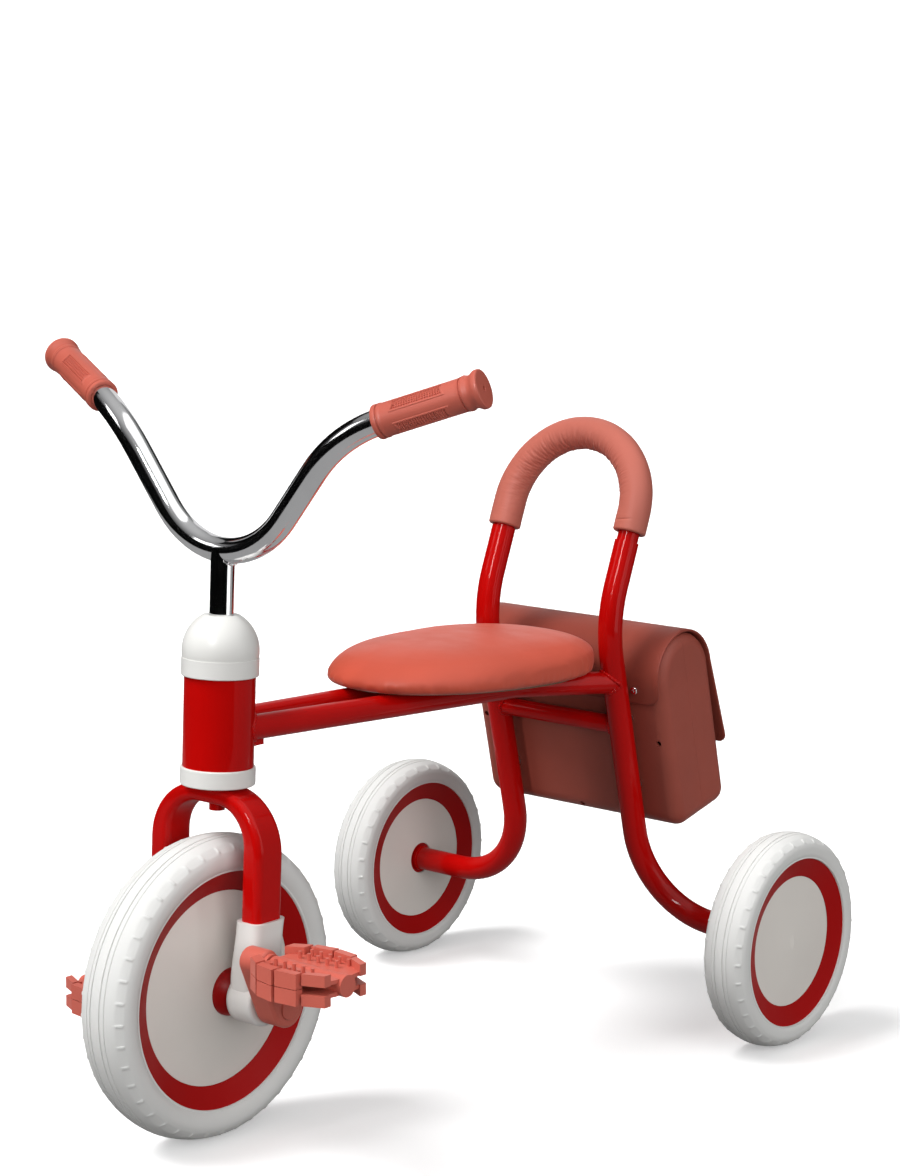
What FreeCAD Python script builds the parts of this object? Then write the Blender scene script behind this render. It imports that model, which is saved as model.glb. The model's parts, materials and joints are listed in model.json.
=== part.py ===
import FreeCAD, Part
import math
import os
import Sketcher
from FreeCAD import Placement, Rotation, Vector

# Children's tricycle with direct-drive pedals, padded backrest hoop and rear trunk.
# Row frame: origin on the ground under the middle of the tricycle's bounding box,
# -Y forward, +X to the rider's left, +Z up. All sizes are in millimetres.

doc = FreeCAD.newDocument("tricycle")

DIMS = [
    ("wheelbase", 502.0),
    ("rear_track", 440.0),
    ("rake_angle", 2.29),
    ("front_tyre_radius", 125.0),
    ("front_tyre_half", 27.0),
    ("front_ring_radius", 97.5),
    ("front_ring_half", 20.2),
    ("front_disc_radius", 80.2),
    ("front_disc_half", 11.5),
    ("front_hub_radius", 19.5),
    ("front_hub_half", 26.5),
    ("front_hub_outer", 26.5),
    ("front_hub_dome", 10.4),
    ("front_disc_rise", 12.4),
    ("rear_tyre_radius", 97.0),
    ("rear_tyre_half", 22.8),
    ("rear_ring_radius", 76.0),
    ("rear_ring_half", 18.6),
    ("rear_disc_radius", 58.9),
    ("rear_disc_half", 13.1),
    ("rear_hub_radius", 15.0),
    ("rear_hub_half", 13.8),
    ("rear_hub_outer", 5.9),
    ("rear_hub_dome", 0.6),
    ("rear_disc_rise", 2.4),
    ("rear_axle_radius", 7.0),
    ("rear_axle_outer_end", 7.0),
    ("front_axle_radius", 6.0),
    ("running_clearance", 0.06),
    ("head_tube_radius", 28.7),
    ("head_tube_bore", 25.5),
    ("head_tube_bottom", 305.2),
    ("head_tube_top", 378.8),
    ("collar_radius", 30.4),
    ("collar_bottom", 290.6),
    ("cap_radius", 31.2),
    ("cap_dome_radius", 30.6),
    ("cap_top", 427.7),
    ("cap_step", 393.2),
    ("steerer_radius", 14.0),
    ("steerer_bore", 9.75),
    ("steerer_top", 396.0),
    ("stem_radius", 9.7),
    ("stem_bottom", 330.0),
    ("bar_radius", 10.5),
    ("bar_bore", 8.9),
    ("bar_apex_rise", 429.75),
    ("bar_apex_back", 20.4),
    ("bar_bottom_bend", 82.5),
    ("bar_corner_width", 121.0),
    ("bar_corner_back", 21.8),
    ("bar_corner_rise", 579.3),
    ("bar_upper_bend", 122.0),
    ("grip_width", 232.9),
    ("grip_back", 60.2),
    ("grip_rise", 619.4),
    ("grip_length", 91.0),
    ("grip_radius", 13.2),
    ("grip_flange", 15.4),
    ("fork_half_width", 52.0),
    ("fork_crown_top", 290.0),
    ("fork_crown_under", 276.0),
    ("fork_crown_flat", 12.0),
    ("fork_leg_bottom", 168.0),
    ("fork_leg_thick", 20.0),
    ("fork_leg_deep", 30.0),
    ("fork_leg_corner", 6.0),
    ("fork_leg_wall", 2.0),
    ("shell_top", 188.5),
    ("shell_barrel_radius", 20.3),
    ("shell_barrel_inner", 38.6),
    ("shell_barrel_outer", 66.0),
    ("crank_length", 46.6),
    ("crank_angle", 29.6),
    ("crank_inner", 67.2),
    ("crank_outer", 90.6),
    ("crank_hub_radius", 16.3),
    ("crank_boss_radius", 11.5),
    ("crank_cap_radius", 9.4),
    ("pedal_inner", 96.0),
    ("pedal_outer", 168.0),
    ("pedal_half_height", 12.6),
    ("pedal_spindle_radius", 4.0),
    ("pedal_cap_radius", 8.8),
    ("pedal_cap_end", 173.0),
    ("stud_radius", 1.5),
    ("leg_half_width", 71.2),
    ("frame_tube_radius", 11.0),
    ("frame_tube_wall", 1.6),
    ("stub_end", 205.0),
    ("stub_bend", 80.0),
    ("leg_bend_back", 434.5),
    ("leg_bend_rise", 374.7),
    ("leg_bend_radius", 110.0),
    ("leg_slope", 0.24307),
    ("upright_slope", 0.388),
    ("upright_top", 446.0),
    ("hoop_tube_radius", 9.6),
    ("hoop_radius", 71.2),
    ("hoop_top_rise", 536.8),
    ("foam_radius", 15.0),
    ("foam_bore", 10.2),
    ("foam_start", 454.0),
    ("brace_radius", 8.2),
    ("brace_rise", 277.7),
    ("rail_radius", 10.2),
    ("rail_wall", 1.5),
    ("rail_front_half", 15.6),
    ("rail_bend_half", 28.4),
    ("rail_bend_back", 362.0),
    ("rail_front_rise", 334.5),
    ("rail_slope", 0.0366),
    ("rail_bend_radius", 60.0),
    ("seat_centre_back", 332.0),
    ("seat_half_width", 91.5),
    ("seat_back_half", 126.0),
    ("seat_front_half", 161.0),
    ("seat_height", 37.5),
    ("board_thick", 4.0),
    ("bag_half_width", 112.0),
    ("bag_depth", 79.5),
    ("bag_low", 86.0),
    ("bag_arch_centre", 53.0),
    ("bag_wall", 2.6),
    ("bag_end_round", 12.0),
    ("flap_thick", 2.4),
    ("flap_half_width", 110.0),
    ("flap_fold_angle", 45.0),
    ("pivot_gap", 0.5),
]

sheet = doc.addObject("Spreadsheet::Sheet", "dims")
for row, (alias, number) in enumerate(DIMS, start=1):
    sheet.set("A%d" % row, alias)
    sheet.set("B%d" % row, "%g" % number)
    sheet.setAlias("B%d" % row, alias)
doc.recompute()


def dim(alias):
    """One driving dimension."""
    return float(sheet.get(alias))


WHEELBASE = dim("wheelbase")
SHIFT = -(WHEELBASE + dim("rear_tyre_radius") - dim("front_tyre_radius")) / 2.0
SHIFT_TEXT = "0 - (dims.wheelbase + dims.rear_tyre_radius - dims.front_tyre_radius) / 2"
FRONT_HEIGHT = dim("front_tyre_radius")
REAR_HEIGHT = dim("rear_tyre_radius")
PIECES = []


def keep(obj, label):
    """Register an object as one finished piece, under its own name."""
    obj.Label = label
    PIECES.append((label, obj))
    return obj


def origin_plane(body, role):
    for feature in body.Origin.OriginFeatures:
        if feature.Role == role:
            return feature
    raise ValueError(role)


def new_body(label):
    body = doc.addObject("PartDesign::Body", label)
    return keep(body, label)


def new_sketch(body, name, role, offset=None):
    sketch = body.newObject("Sketcher::SketchObject", name)
    sketch.AttachmentSupport = [(origin_plane(body, role), "")]
    sketch.MapMode = "FlatFace"
    if offset is not None:
        sketch.setExpression("AttachmentOffset.Base.z", offset)
    return sketch


def draw(sketch, corners):
    """Closed outline. Each corner is (x, y) or (x, y, radius) in sheet expressions.

    A radius bends the side that leaves the corner; a leading '-' turns it the other way.
    """
    points = []
    for corner in corners:
        x = float(sketch.evalExpression(corner[0]))
        y = float(sketch.evalExpression(corner[1]))
        points.append(Vector(x, y, 0))
    first = sketch.GeometryCount
    count = len(points)
    for index, corner in enumerate(corners):
        start = points[index]
        end = points[(index + 1) % count]
        if len(corner) == 3:
            side = -1.0 if corner[2].startswith("-") else 1.0
            radius = float(sketch.evalExpression(corner[2].lstrip("-")))
            chord = end - start
            middle = (start + end) * 0.5
            normal = Vector(chord.y, -chord.x, 0).normalize() * side
            drop = math.sqrt(max(radius ** 2 - (chord.Length / 2.0) ** 2, 0.0))
            top = middle + normal * (radius - drop)
            sketch.addGeometry(Part.Arc(start, top, end), False)
        else:
            sketch.addGeometry(Part.LineSegment(start, end), False)
    ends = []
    for index in range(count):
        gid = first + index
        near = (sketch.getPoint(gid, 1) - points[index]).Length
        ends.append((1, 2) if near < 1e-4 else (2, 1))
    for index, corner in enumerate(corners):
        gid = first + index
        nxt = (index + 1) % count
        own = ends[index]
        sketch.addConstraint(
            Sketcher.Constraint("Coincident", gid, own[1], first + nxt, ends[nxt][0]))
        for kind, text, number in (("DistanceX", corner[0], points[index].x),
                                   ("DistanceY", corner[1], points[index].y)):
            cid = sketch.addConstraint(
                Sketcher.Constraint(kind, -1, 1, gid, own[0], number))
            sketch.setExpression("Constraints[%d]" % cid, text)
        if len(corner) == 3:
            radius = float(sketch.evalExpression(corner[2].lstrip("-")))
            cid = sketch.addConstraint(Sketcher.Constraint("Radius", gid, radius))
            sketch.setExpression("Constraints[%d]" % cid, corner[2].lstrip("-"))
    return sketch


def ring(sketch, x, y, radius):
    """Circle whose centre and radius follow the sheet."""
    cx = float(sketch.evalExpression(x))
    cy = float(sketch.evalExpression(y))
    rad = float(sketch.evalExpression(radius))
    gid = sketch.addGeometry(Part.Circle(Vector(cx, cy, 0), Vector(0, 0, 1), rad), False)
    for kind, text, number in (("DistanceX", x, cx), ("DistanceY", y, cy)):
        cid = sketch.addConstraint(Sketcher.Constraint(kind, -1, 1, gid, 3, number))
        sketch.setExpression("Constraints[%d]" % cid, text)
    cid = sketch.addConstraint(Sketcher.Constraint("Radius", gid, rad))
    sketch.setExpression("Constraints[%d]" % cid, radius)
    return gid


def turned(label, corners, place):
    """Body of revolution: the outline is (radius, height) about the body's own Z axis."""
    body = new_body(label)
    sketch = new_sketch(body, label + "_profile", "XZ_Plane")
    draw(sketch, corners)
    turn = body.newObject("PartDesign::Revolution", label + "_turn")
    turn.Profile = sketch
    turn.ReferenceAxis = (sketch, ["V_Axis"])
    turn.Angle = 360.0
    body.Tip = turn
    locate(body, place)
    return body


def locate(obj, place):
    """Place an object: rotation, then a base point given by sheet expressions."""
    rotation, base = place
    obj.Placement = Placement(Vector(0, 0, 0), rotation)
    for axis, text in zip("xyz", base):
        obj.setExpression("Placement.Base." + axis, text)


def padded(body, sketch, length, name, symmetric=False, reverse=False):
    pad = body.newObject("PartDesign::Pad", name)
    pad.Profile = sketch
    pad.setExpression("Length", length)
    pad.Midplane = symmetric
    pad.Reversed = reverse
    body.Tip = pad
    return pad


def feature(label, shape, place=None):
    """Piece whose shape is computed directly."""
    obj = doc.addObject("Part::Feature", label)
    obj.Shape = shape
    if place is not None:
        obj.Placement = place
    return keep(obj, label)


# Directions and places that several pieces share.
ALONG_X = Rotation(Vector(0, 1, 0), 90)
BACK_X = Rotation(Vector(0, 1, 0), -90)
STEER = Rotation(Vector(1, 0, 0), -dim("rake_angle"))
STEER_BASE = ("0", SHIFT_TEXT, "0")
STEER_PLACE = Placement(Vector(0, SHIFT, 0), STEER)
RUN = dim("running_clearance")


def side_name(side):
    return "left" if side > 0 else "right"


def rod(radius, start, end):
    """Solid cylinder between two points."""
    axis = end - start
    return Part.makeCylinder(radius, axis.Length, start, axis)


def filleted_path(points, radii):
    """Straight runs joined by tangent arcs; one radius for each inner point."""
    edges = []
    cursor = points[0]
    for index in range(1, len(points) - 1):
        corner = points[index]
        back = (points[index - 1] - corner).normalize()
        ahead = (points[index + 1] - corner).normalize()
        angle = back.getAngle(ahead)
        reach = radii[index - 1] / math.tan(angle / 2.0)
        begin = corner + back * reach
        finish = corner + ahead * reach
        inward = (back + ahead).normalize()
        centre = corner + inward * (radii[index - 1] / math.sin(angle / 2.0))
        middle = centre - inward * radii[index - 1]
        if (begin - cursor).Length > 1e-6:
            edges.append(Part.LineSegment(cursor, begin).toShape())
        edges.append(Part.Arc(begin, middle, finish).toShape())
        cursor = finish
    edges.append(Part.LineSegment(cursor, points[-1]).toShape())
    return Part.Wire(edges)


def swept(path, radius):
    """Round bar along a path."""
    start = path.Edges[0]
    direction = start.tangentAt(start.FirstParameter)
    where = start.valueAt(start.FirstParameter)
    section = Part.Wire([Part.Circle(where, direction, radius).toShape()])
    return path.makePipeShell([section], True, False)


def swept_tube(path, radius, bore):
    return swept(path, radius).cut(swept(path, bore))


# ---------------------------------------------------------------- wheels

def wheel(prefix, tyre_name, core_name, disc_names, place):
    """Foam tyre, moulded core and the two dished discs of one wheel."""
    def d(text):
        return text.replace("@", "dims." + prefix + "_")

    corners = [
        (d("@ring_radius"), d("0 - @ring_half - 1.4")),
        (d("@ring_radius + 4"), d("0 - @tyre_half + 1"), "26"),
        (d("@tyre_radius - 11"), d("0 - @tyre_half + 1"), "14"),
        (d("@tyre_radius - 0.9"), d("0 - @tyre_half * 0.46"), "60"),
        (d("@tyre_radius - 0.1"), "0 - 6.2"),
        (d("@tyre_radius - 1.3"), "0 - 5.6"),
        (d("@tyre_radius - 0.1"), "0 - 5"),
        (d("@tyre_radius"), "0"),
        (d("@tyre_radius - 0.1"), "5"),
        (d("@tyre_radius - 1.3"), "5.6"),
        (d("@tyre_radius - 0.1"), "6.2", "60"),
        (d("@tyre_radius - 0.9"), d("@tyre_half * 0.46"), "14"),
        (d("@tyre_radius - 11"), d("@tyre_half - 1"), "26"),
        (d("@ring_radius + 4"), d("@tyre_half - 1")),
        (d("@ring_radius"), d("@ring_half + 1.4")),
    ]
    turned(tyre_name, corners, place)

    bore = d("@axle_radius")
    if prefix == "rear":
        bore = d("@axle_radius + dims.running_clearance")
    core = [
        (bore, d("0 - @hub_half - @hub_dome")),
        (d("@hub_radius - @hub_dome * 0.5"), d("0 - @hub_half - @hub_dome"), "30"),
        (d("@hub_radius"), d("0 - @hub_half")),
        (d("@hub_radius"), "0 - 3"),
        (d("@disc_radius - 3"), "0 - 3"),
        (d("@disc_radius - 3"), d("0 - @disc_half + 3")),
        (d("@disc_radius"), d("0 - @disc_half + 3")),
        (d("@disc_radius"), d("0 - @disc_half")),
        (d("@ring_radius"), d("0 - @ring_half")),
        (d("@ring_radius"), d("@ring_half")),
        (d("@disc_radius"), d("@disc_half")),
        (d("@disc_radius"), d("@disc_half - 3")),
        (d("@disc_radius - 3"), d("@disc_half - 3")),
        (d("@disc_radius - 3"), "3"),
        (d("@hub_radius"), "3"),
        (d("@hub_radius"), d("@hub_outer"), "30"),
        (d("@hub_radius - @hub_dome * 0.5"), d("@hub_outer + @hub_dome")),
        (bore, d("@hub_outer + @hub_dome")),
    ]
    turned(core_name, core, place)
    for name, sign in disc_names:
        rim = d("@disc_half")
        hole = d("@hub_radius + 0.1")
        rise = d("@disc_rise")
        if name.startswith("rear_disc_outer"):
            disc = [
                ("0", rim + " + 2.4"),
                (d("@disc_radius - 0.2"), rim + " - 0.4"),
                (d("@disc_radius - 0.2"), rim + " - 2.9"),
                ("0", rim + " - 0.1"),
            ]
        else:
            disc = [
                (hole, rim + " + " + rise),
                (d("@disc_radius - 0.2"), rim + " - 0.4"),
                (d("@disc_radius - 0.2"), rim + " - 2.9"),
                (hole, rim + " + " + rise + " - 2.6"),
            ]
        if sign < 0:
            disc = [(x, "0 - (" + y + ")") for x, y in disc]
        turned(name, disc, place)


FRONT_PLACE = (ALONG_X, ("0", SHIFT_TEXT, "dims.front_tyre_radius"))
wheel("front", "front_tyre", "front_wheel_core",
      [("front_disc_left", 1), ("front_disc_right", -1)], FRONT_PLACE)
for side in (1, -1):
    tag = side_name(side)
    rotation = ALONG_X if side > 0 else BACK_X
    place = (rotation, ("%d * dims.rear_track / 2" % side, SHIFT_TEXT + " + dims.wheelbase",
                        "dims.rear_tyre_radius"))
    wheel("rear", "rear_tyre_" + tag, "rear_wheel_core_" + tag,
          [("rear_disc_outer_" + tag, 1), ("rear_disc_inner_" + tag, -1)], place)

front_axle = doc.addObject("Part::Cylinder", "front_axle")
front_axle.setExpression("Radius", "dims.front_axle_radius")
front_axle.setExpression("Height", "2 * (dims.crank_outer - 3)")
locate(front_axle, (ALONG_X, ("0 - (dims.crank_outer - 3)", SHIFT_TEXT, "dims.front_tyre_radius")))
keep(front_axle, "front_axle")

# ---------------------------------------------------------------- cranks and pedals

AXLE_CENTRE = Vector(0, SHIFT, FRONT_HEIGHT)


def crank_end(side):
    """Offset from the front axle to the pedal spindle, one crank opposite the other."""
    angle = math.radians(dim("crank_angle"))
    reach = dim("crank_length") * side
    return Vector(0, -math.sin(angle) * reach, math.cos(angle) * reach)


def crank_body(side):
    """Tapered arm: hull of the axle hub and the pedal boss, rounded all round."""
    tag = side_name(side)
    body = new_body("crank_" + tag)
    sketch = new_sketch(body, "crank_%s_outline" % tag, "XY_Plane")
    reach = dim("crank_length")
    hub = dim("crank_hub_radius")
    boss = dim("crank_boss_radius")
    lean = math.asin((hub - boss) / reach)
    corners = []
    for radius, level, sign in ((hub, "0", -1), (hub, "0", 1),
                                (boss, "dims.crank_length", 1), (boss, "dims.crank_length", -1)):
        name = "dims.crank_hub_radius" if radius == hub else "dims.crank_boss_radius"
        x = "%s * %.6f" % (name, sign * math.cos(lean))
        y = "%s + %s * %.6f" % (level, name, math.sin(lean))
        corners.append((x, y))
    start = corners[0]
    sketch_corners = [(start[0], start[1], "dims.crank_hub_radius")] + [corners[1]]
    sketch_corners += [(corners[2][0], corners[2][1], "dims.crank_boss_radius"), corners[3]]
    draw_hull(sketch, sketch_corners)
    pad = padded(body, sketch, "dims.crank_outer - dims.crank_inner", "crank_%s_pad" % tag)
    doc.recompute()
    edges = []
    for index, edge in enumerate(body.Shape.Edges, start=1):
        box = edge.BoundBox
        flat = box.ZMax - box.ZMin < 1e-6
        if flat:
            edges.append("Edge%d" % index)
    rounding = body.newObject("PartDesign::Fillet", "crank_%s_round" % tag)
    rounding.Base = (pad, edges)
    rounding.Radius = 3.2
    body.Tip = rounding
    holes = new_sketch(body, "crank_%s_holes" % tag, "XY_Plane")
    ring(holes, "0", "0", "dims.front_axle_radius")
    ring(holes, "0", "dims.crank_length", "dims.pedal_spindle_radius")
    drill = body.newObject("PartDesign::Pocket", "crank_%s_drill" % tag)
    drill.Profile = holes
    drill.Type = "ThroughAll"
    drill.Midplane = True
    body.Tip = drill
    seat = new_sketch(body, "crank_%s_cap_seat" % tag, "XY_Plane",
                      "dims.crank_outer - dims.crank_inner - 3")
    ring(seat, "0", "0", "dims.crank_cap_radius + 0.2")
    sink = body.newObject("PartDesign::Pocket", "crank_%s_sink" % tag)
    sink.Profile = seat
    sink.Type = "Length"
    sink.Length = 10.0
    sink.Reversed = True
    body.Tip = sink
    # Local Z points outwards along X and local Y points from the axle to the pedal.
    outward = Vector(side, 0, 0)
    upward = crank_end(side).normalize()
    across = upward.cross(outward)
    rotation = Rotation(across, upward, outward, "ZXY")
    locate(body, (rotation, ("%d * dims.crank_inner" % side, SHIFT_TEXT,
                             "dims.front_tyre_radius")))
    return body


def draw_hull(sketch, corners):
    """Outline with large arcs that run more than half way round stay on their outer side."""
    points = []
    for corner in corners:
        points.append(Vector(float(sketch.evalExpression(corner[0])),
                             float(sketch.evalExpression(corner[1])), 0))
    hub_low = Vector(0, -float(sketch.evalExpression("dims.crank_hub_radius")), 0)
    boss_top = Vector(0, float(sketch.evalExpression(
        "dims.crank_length + dims.crank_boss_radius")), 0)
    arcs = [(points[0], hub_low, points[1]), (points[2], boss_top, points[3])]
    gids = []
    gids.append(sketch.addGeometry(Part.Arc(*arcs[0]), False))
    gids.append(sketch.addGeometry(Part.LineSegment(points[1], points[2]), False))
    gids.append(sketch.addGeometry(Part.Arc(*arcs[1]), False))
    gids.append(sketch.addGeometry(Part.LineSegment(points[3], points[0]), False))
    ends = []
    for gid, start in zip(gids, (points[0], points[1], points[2], points[3])):
        near = (sketch.getPoint(gid, 1) - start).Length
        ends.append((1, 2) if near < 1e-4 else (2, 1))
    for index in range(4):
        nxt = (index + 1) % 4
        sketch.addConstraint(Sketcher.Constraint(
            "Tangent", gids[index], ends[index][1], gids[nxt], ends[nxt][0]))
    for gid, height, radius in ((gids[0], "0", "dims.crank_hub_radius"),
                                (gids[2], "dims.crank_length", "dims.crank_boss_radius")):
        sketch.addConstraint(Sketcher.Constraint("DistanceX", -1, 1, gid, 3, 0.0))
        level = float(sketch.evalExpression(height))
        cid = sketch.addConstraint(Sketcher.Constraint("DistanceY", -1, 1, gid, 3, level))
        sketch.setExpression("Constraints[%d]" % cid, height)
        size_now = float(sketch.evalExpression(radius))
        cid = sketch.addConstraint(Sketcher.Constraint("Radius", gid, size_now))
        sketch.setExpression("Constraints[%d]" % cid, radius)


for side in (1, -1):
    crank_body(side)

caps = []
for side in (1, -1):
    face = dim("crank_outer") - 3.0
    start = AXLE_CENTRE + Vector(side * face, 0, 0)
    cap = rod(dim("crank_cap_radius"), start, start + Vector(side * 4.6, 0, 0))
    rim = [edge for edge in cap.Edges if abs(edge.BoundBox.XMin) > face + 4.0
           or abs(edge.BoundBox.XMax) > face + 4.0]
    rim = [edge for edge in rim if edge.BoundBox.XLength < 1e-6]
    caps.append(cap.makeFillet(1.0, rim))
feature("crank_caps", Part.makeCompound(caps))

spindles = []
for side in (1, -1):
    centre = AXLE_CENTRE + crank_end(side)
    pin = rod(dim("pedal_spindle_radius"), centre + Vector(side * (dim("crank_inner") + 2), 0, 0),
              centre + Vector(side * (dim("pedal_outer") - 2), 0, 0))
    washer = rod(9.0, centre + Vector(side * dim("crank_outer"), 0, 0),
                 centre + Vector(side * (dim("crank_outer") + 3.4), 0, 0))
    spindles.append(pin.fuse(washer).removeSplitter())
feature("pedal_spindles", Part.makeCompound(spindles))

PLATE = [(0, 19), (11, 30), (34, 34), (56, 29.5), (72, 21), (74, 10)]
TEETH = [
    # inner end, outer end, inner half width at both ends, outer half width at both ends, lift
    (-2.5, 11.0, 14.0, 22.0, 24.5, 32.5, 0.3),
    (13.8, 32.8, 27.0, 30.5, 34.5, 38.3, 0.3),
    (35.2, 55.2, 30.0, 27.5, 37.3, 34.8, 0.3),
    (57.4, 74.6, 24.5, 16.5, 31.0, 23.5, 3.4),
]


def pedal_half(side, up):
    """One moulded half: ribbed plate, edge blocks, grip studs and half of the bearing."""
    reach = dim("pedal_outer") - dim("pedal_inner")
    top = dim("pedal_half_height")
    outline = [Vector(x, y, 0) for x, y in PLATE] + [Vector(x, -y, 0) for x, y in reversed(PLATE)]
    outline.append(outline[0])
    plate = Part.Face(Part.makePolygon(outline)).extrude(Vector(0, 0, 3.2))
    plate.translate(Vector(0, 0, 3.4))
    shape = plate
    for start, stop, in_a, in_b, out_a, out_b, lift in TEETH:
        for sign in (1, -1):
            block = [Vector(start, sign * in_a, 0), Vector(stop, sign * in_b, 0),
                     Vector(stop, sign * out_b, 0), Vector(start, sign * out_a, 0)]
            block.append(block[0])
            solid = Part.Face(Part.makePolygon(block)).extrude(Vector(0, 0, top - lift))
            solid.translate(Vector(0, 0, lift))
            shape = shape.fuse(solid)
    barrel = rod(8.4, Vector(0, 0, 0), Vector(reach, 0, 0))
    half = Part.makeBox(reach + 20, 60, 20, Vector(-10, -30, 0.15))
    shape = shape.fuse(barrel.common(half))
    bore = rod(dim("pedal_spindle_radius") + RUN, Vector(-10, 0, 0), Vector(reach + 10, 0, 0))
    cap_room = rod(dim("pedal_cap_radius") + 0.4, Vector(reach, 0, 0), Vector(reach + 20, 0, 0))
    shape = shape.cut(bore).cut(cap_room)
    for row, y in enumerate((-23.0, -13.5, 13.5, 23.0)):
        for step in range(5):
            x = 14.5 + 9.6 * step + (4.0 if row in (0, 3) else 0.0)
            stud = rod(dim("stud_radius"), Vector(x, y, 5.0), Vector(x, y, top - 0.4))
            shape = shape.fuse(stud)
    shape = shape.removeSplitter()
    if not up:
        shape.rotate(Vector(0, 0, 0), Vector(1, 0, 0), 180)
    if side < 0:
        shape.rotate(Vector(0, 0, 0), Vector(0, 0, 1), 180)
    centre = AXLE_CENTRE + crank_end(side)
    shape.translate(centre + Vector(side * dim("pedal_inner"), 0, 0))
    return shape


for side in (1, -1):
    tag = side_name(side)
    feature("pedal_upper_" + tag, pedal_half(side, True))
    feature("pedal_lower_" + tag, pedal_half(side, False))
    centre = AXLE_CENTRE + crank_end(side)
    base = centre + Vector(side * (dim("pedal_outer") + 0.1), 0, 0)
    knob = rod(dim("pedal_cap_radius"), base, centre + Vector(side * dim("pedal_cap_end"), 0, 0))
    feature("pedal_cap_" + tag, knob)

# ---------------------------------------------------------------- steering head

turned("head_tube", [
    ("dims.head_tube_bore", "dims.head_tube_bottom"),
    ("dims.head_tube_radius", "dims.head_tube_bottom"),
    ("dims.head_tube_radius", "dims.head_tube_top"),
    ("dims.head_tube_bore", "dims.head_tube_top"),
], (STEER, STEER_BASE))

turned("lower_collar", [
    ("dims.steerer_radius + 1.5", "dims.collar_bottom"),
    ("dims.collar_radius - 1.2", "dims.collar_bottom", "1.2"),
    ("dims.collar_radius", "dims.collar_bottom + 1.2"),
    ("dims.collar_radius", "dims.head_tube_bottom - 1.2", "1.2"),
    ("dims.collar_radius - 1.2", "dims.head_tube_bottom"),
    ("dims.steerer_radius + 1.5", "dims.head_tube_bottom"),
], (STEER, STEER_BASE))

for label, low, high in (
        ("lower_bush", "dims.head_tube_bottom", "dims.head_tube_bottom + 18"),
        ("upper_bush", "dims.head_tube_top - 18", "dims.head_tube_top")):
    turned(label, [
        ("dims.steerer_radius + dims.running_clearance", low),
        ("dims.head_tube_bore", low),
        ("dims.head_tube_bore", high),
        ("dims.steerer_radius + dims.running_clearance", high),
    ], (STEER, STEER_BASE))

turned("head_cap", [
    ("dims.head_tube_radius - 4", "dims.head_tube_top"),
    ("dims.cap_radius - 1", "dims.head_tube_top", "1"),
    ("dims.cap_radius", "dims.head_tube_top + 1"),
    ("dims.cap_radius", "dims.cap_step"),
    ("dims.cap_dome_radius", "dims.cap_step", "33"),
    ("14.4", "dims.cap_top"),
    ("dims.stem_radius + 0.6", "dims.cap_top"),
    ("dims.stem_radius + 0.6", "dims.cap_top - 5"),
    ("16", "dims.cap_top - 5", "-31"),
    ("dims.head_tube_radius - 4", "dims.cap_step + 4"),
], (STEER, STEER_BASE))

turned("steerer", [
    ("dims.steerer_bore", "dims.fork_crown_under + 3.5"),
    ("dims.steerer_radius", "dims.fork_crown_under + 3.5"),
    ("dims.steerer_radius", "dims.steerer_top"),
    ("dims.steerer_bore", "dims.steerer_top"),
], (STEER, STEER_BASE))

turned("steerer_nut", [
    ("dims.steerer_radius", "dims.head_tube_top + dims.pivot_gap"),
    ("21", "dims.head_tube_top + dims.pivot_gap"),
    ("21", "dims.head_tube_top + 9"),
    ("dims.steerer_radius", "dims.head_tube_top + 9"),
], (STEER, STEER_BASE))

turned("stem_bolt", [
    ("0", "dims.fork_crown_under - 6.6"),
    ("6.4", "dims.fork_crown_under - 6.6"),
    ("6.4", "dims.fork_crown_under - 0.1"),
    ("4", "dims.fork_crown_under - 0.1"),
    ("4", "dims.stem_bottom + 12"),
    ("0", "dims.stem_bottom + 12"),
], (STEER, STEER_BASE))

# ---------------------------------------------------------------- fork


def rounded_section(thick, deep, corner, centre):
    """Rounded rectangle in the plane Z = centre.z: thick along X and deep along Y."""
    half_x = thick / 2.0 - corner
    half_y = deep / 2.0 - corner
    edges = []
    spots = [(half_x, half_y, 0), (-half_x, half_y, 90), (-half_x, -half_y, 180),
             (half_x, -half_y, 270)]
    arcs = []
    for x, y, turn in spots:
        pts = []
        for step in (0, 45, 90):
            angle = math.radians(turn + step)
            pts.append(centre + Vector(x + corner * math.cos(angle),
                                       y + corner * math.sin(angle), 0))
        arcs.append(pts)
    for index, pts in enumerate(arcs):
        edges.append(Part.Arc(*pts).toShape())
        following = arcs[(index + 1) % 4][0]
        if (following - pts[2]).Length > 1e-6:
            edges.append(Part.LineSegment(pts[2], following).toShape())
    return Part.Wire(edges)


def fork_leg(side, inset, low, high):
    """Straight run of one fork leg, shrunk by an inset."""
    foot = Vector(side * dim("fork_half_width"), 0, low)
    section = rounded_section(dim("fork_leg_thick") - 2 * inset, dim("fork_leg_deep") - 2 * inset,
                              dim("fork_leg_corner") - inset, foot)
    return Part.Face(section).extrude(Vector(0, 0, high - low))


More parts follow.
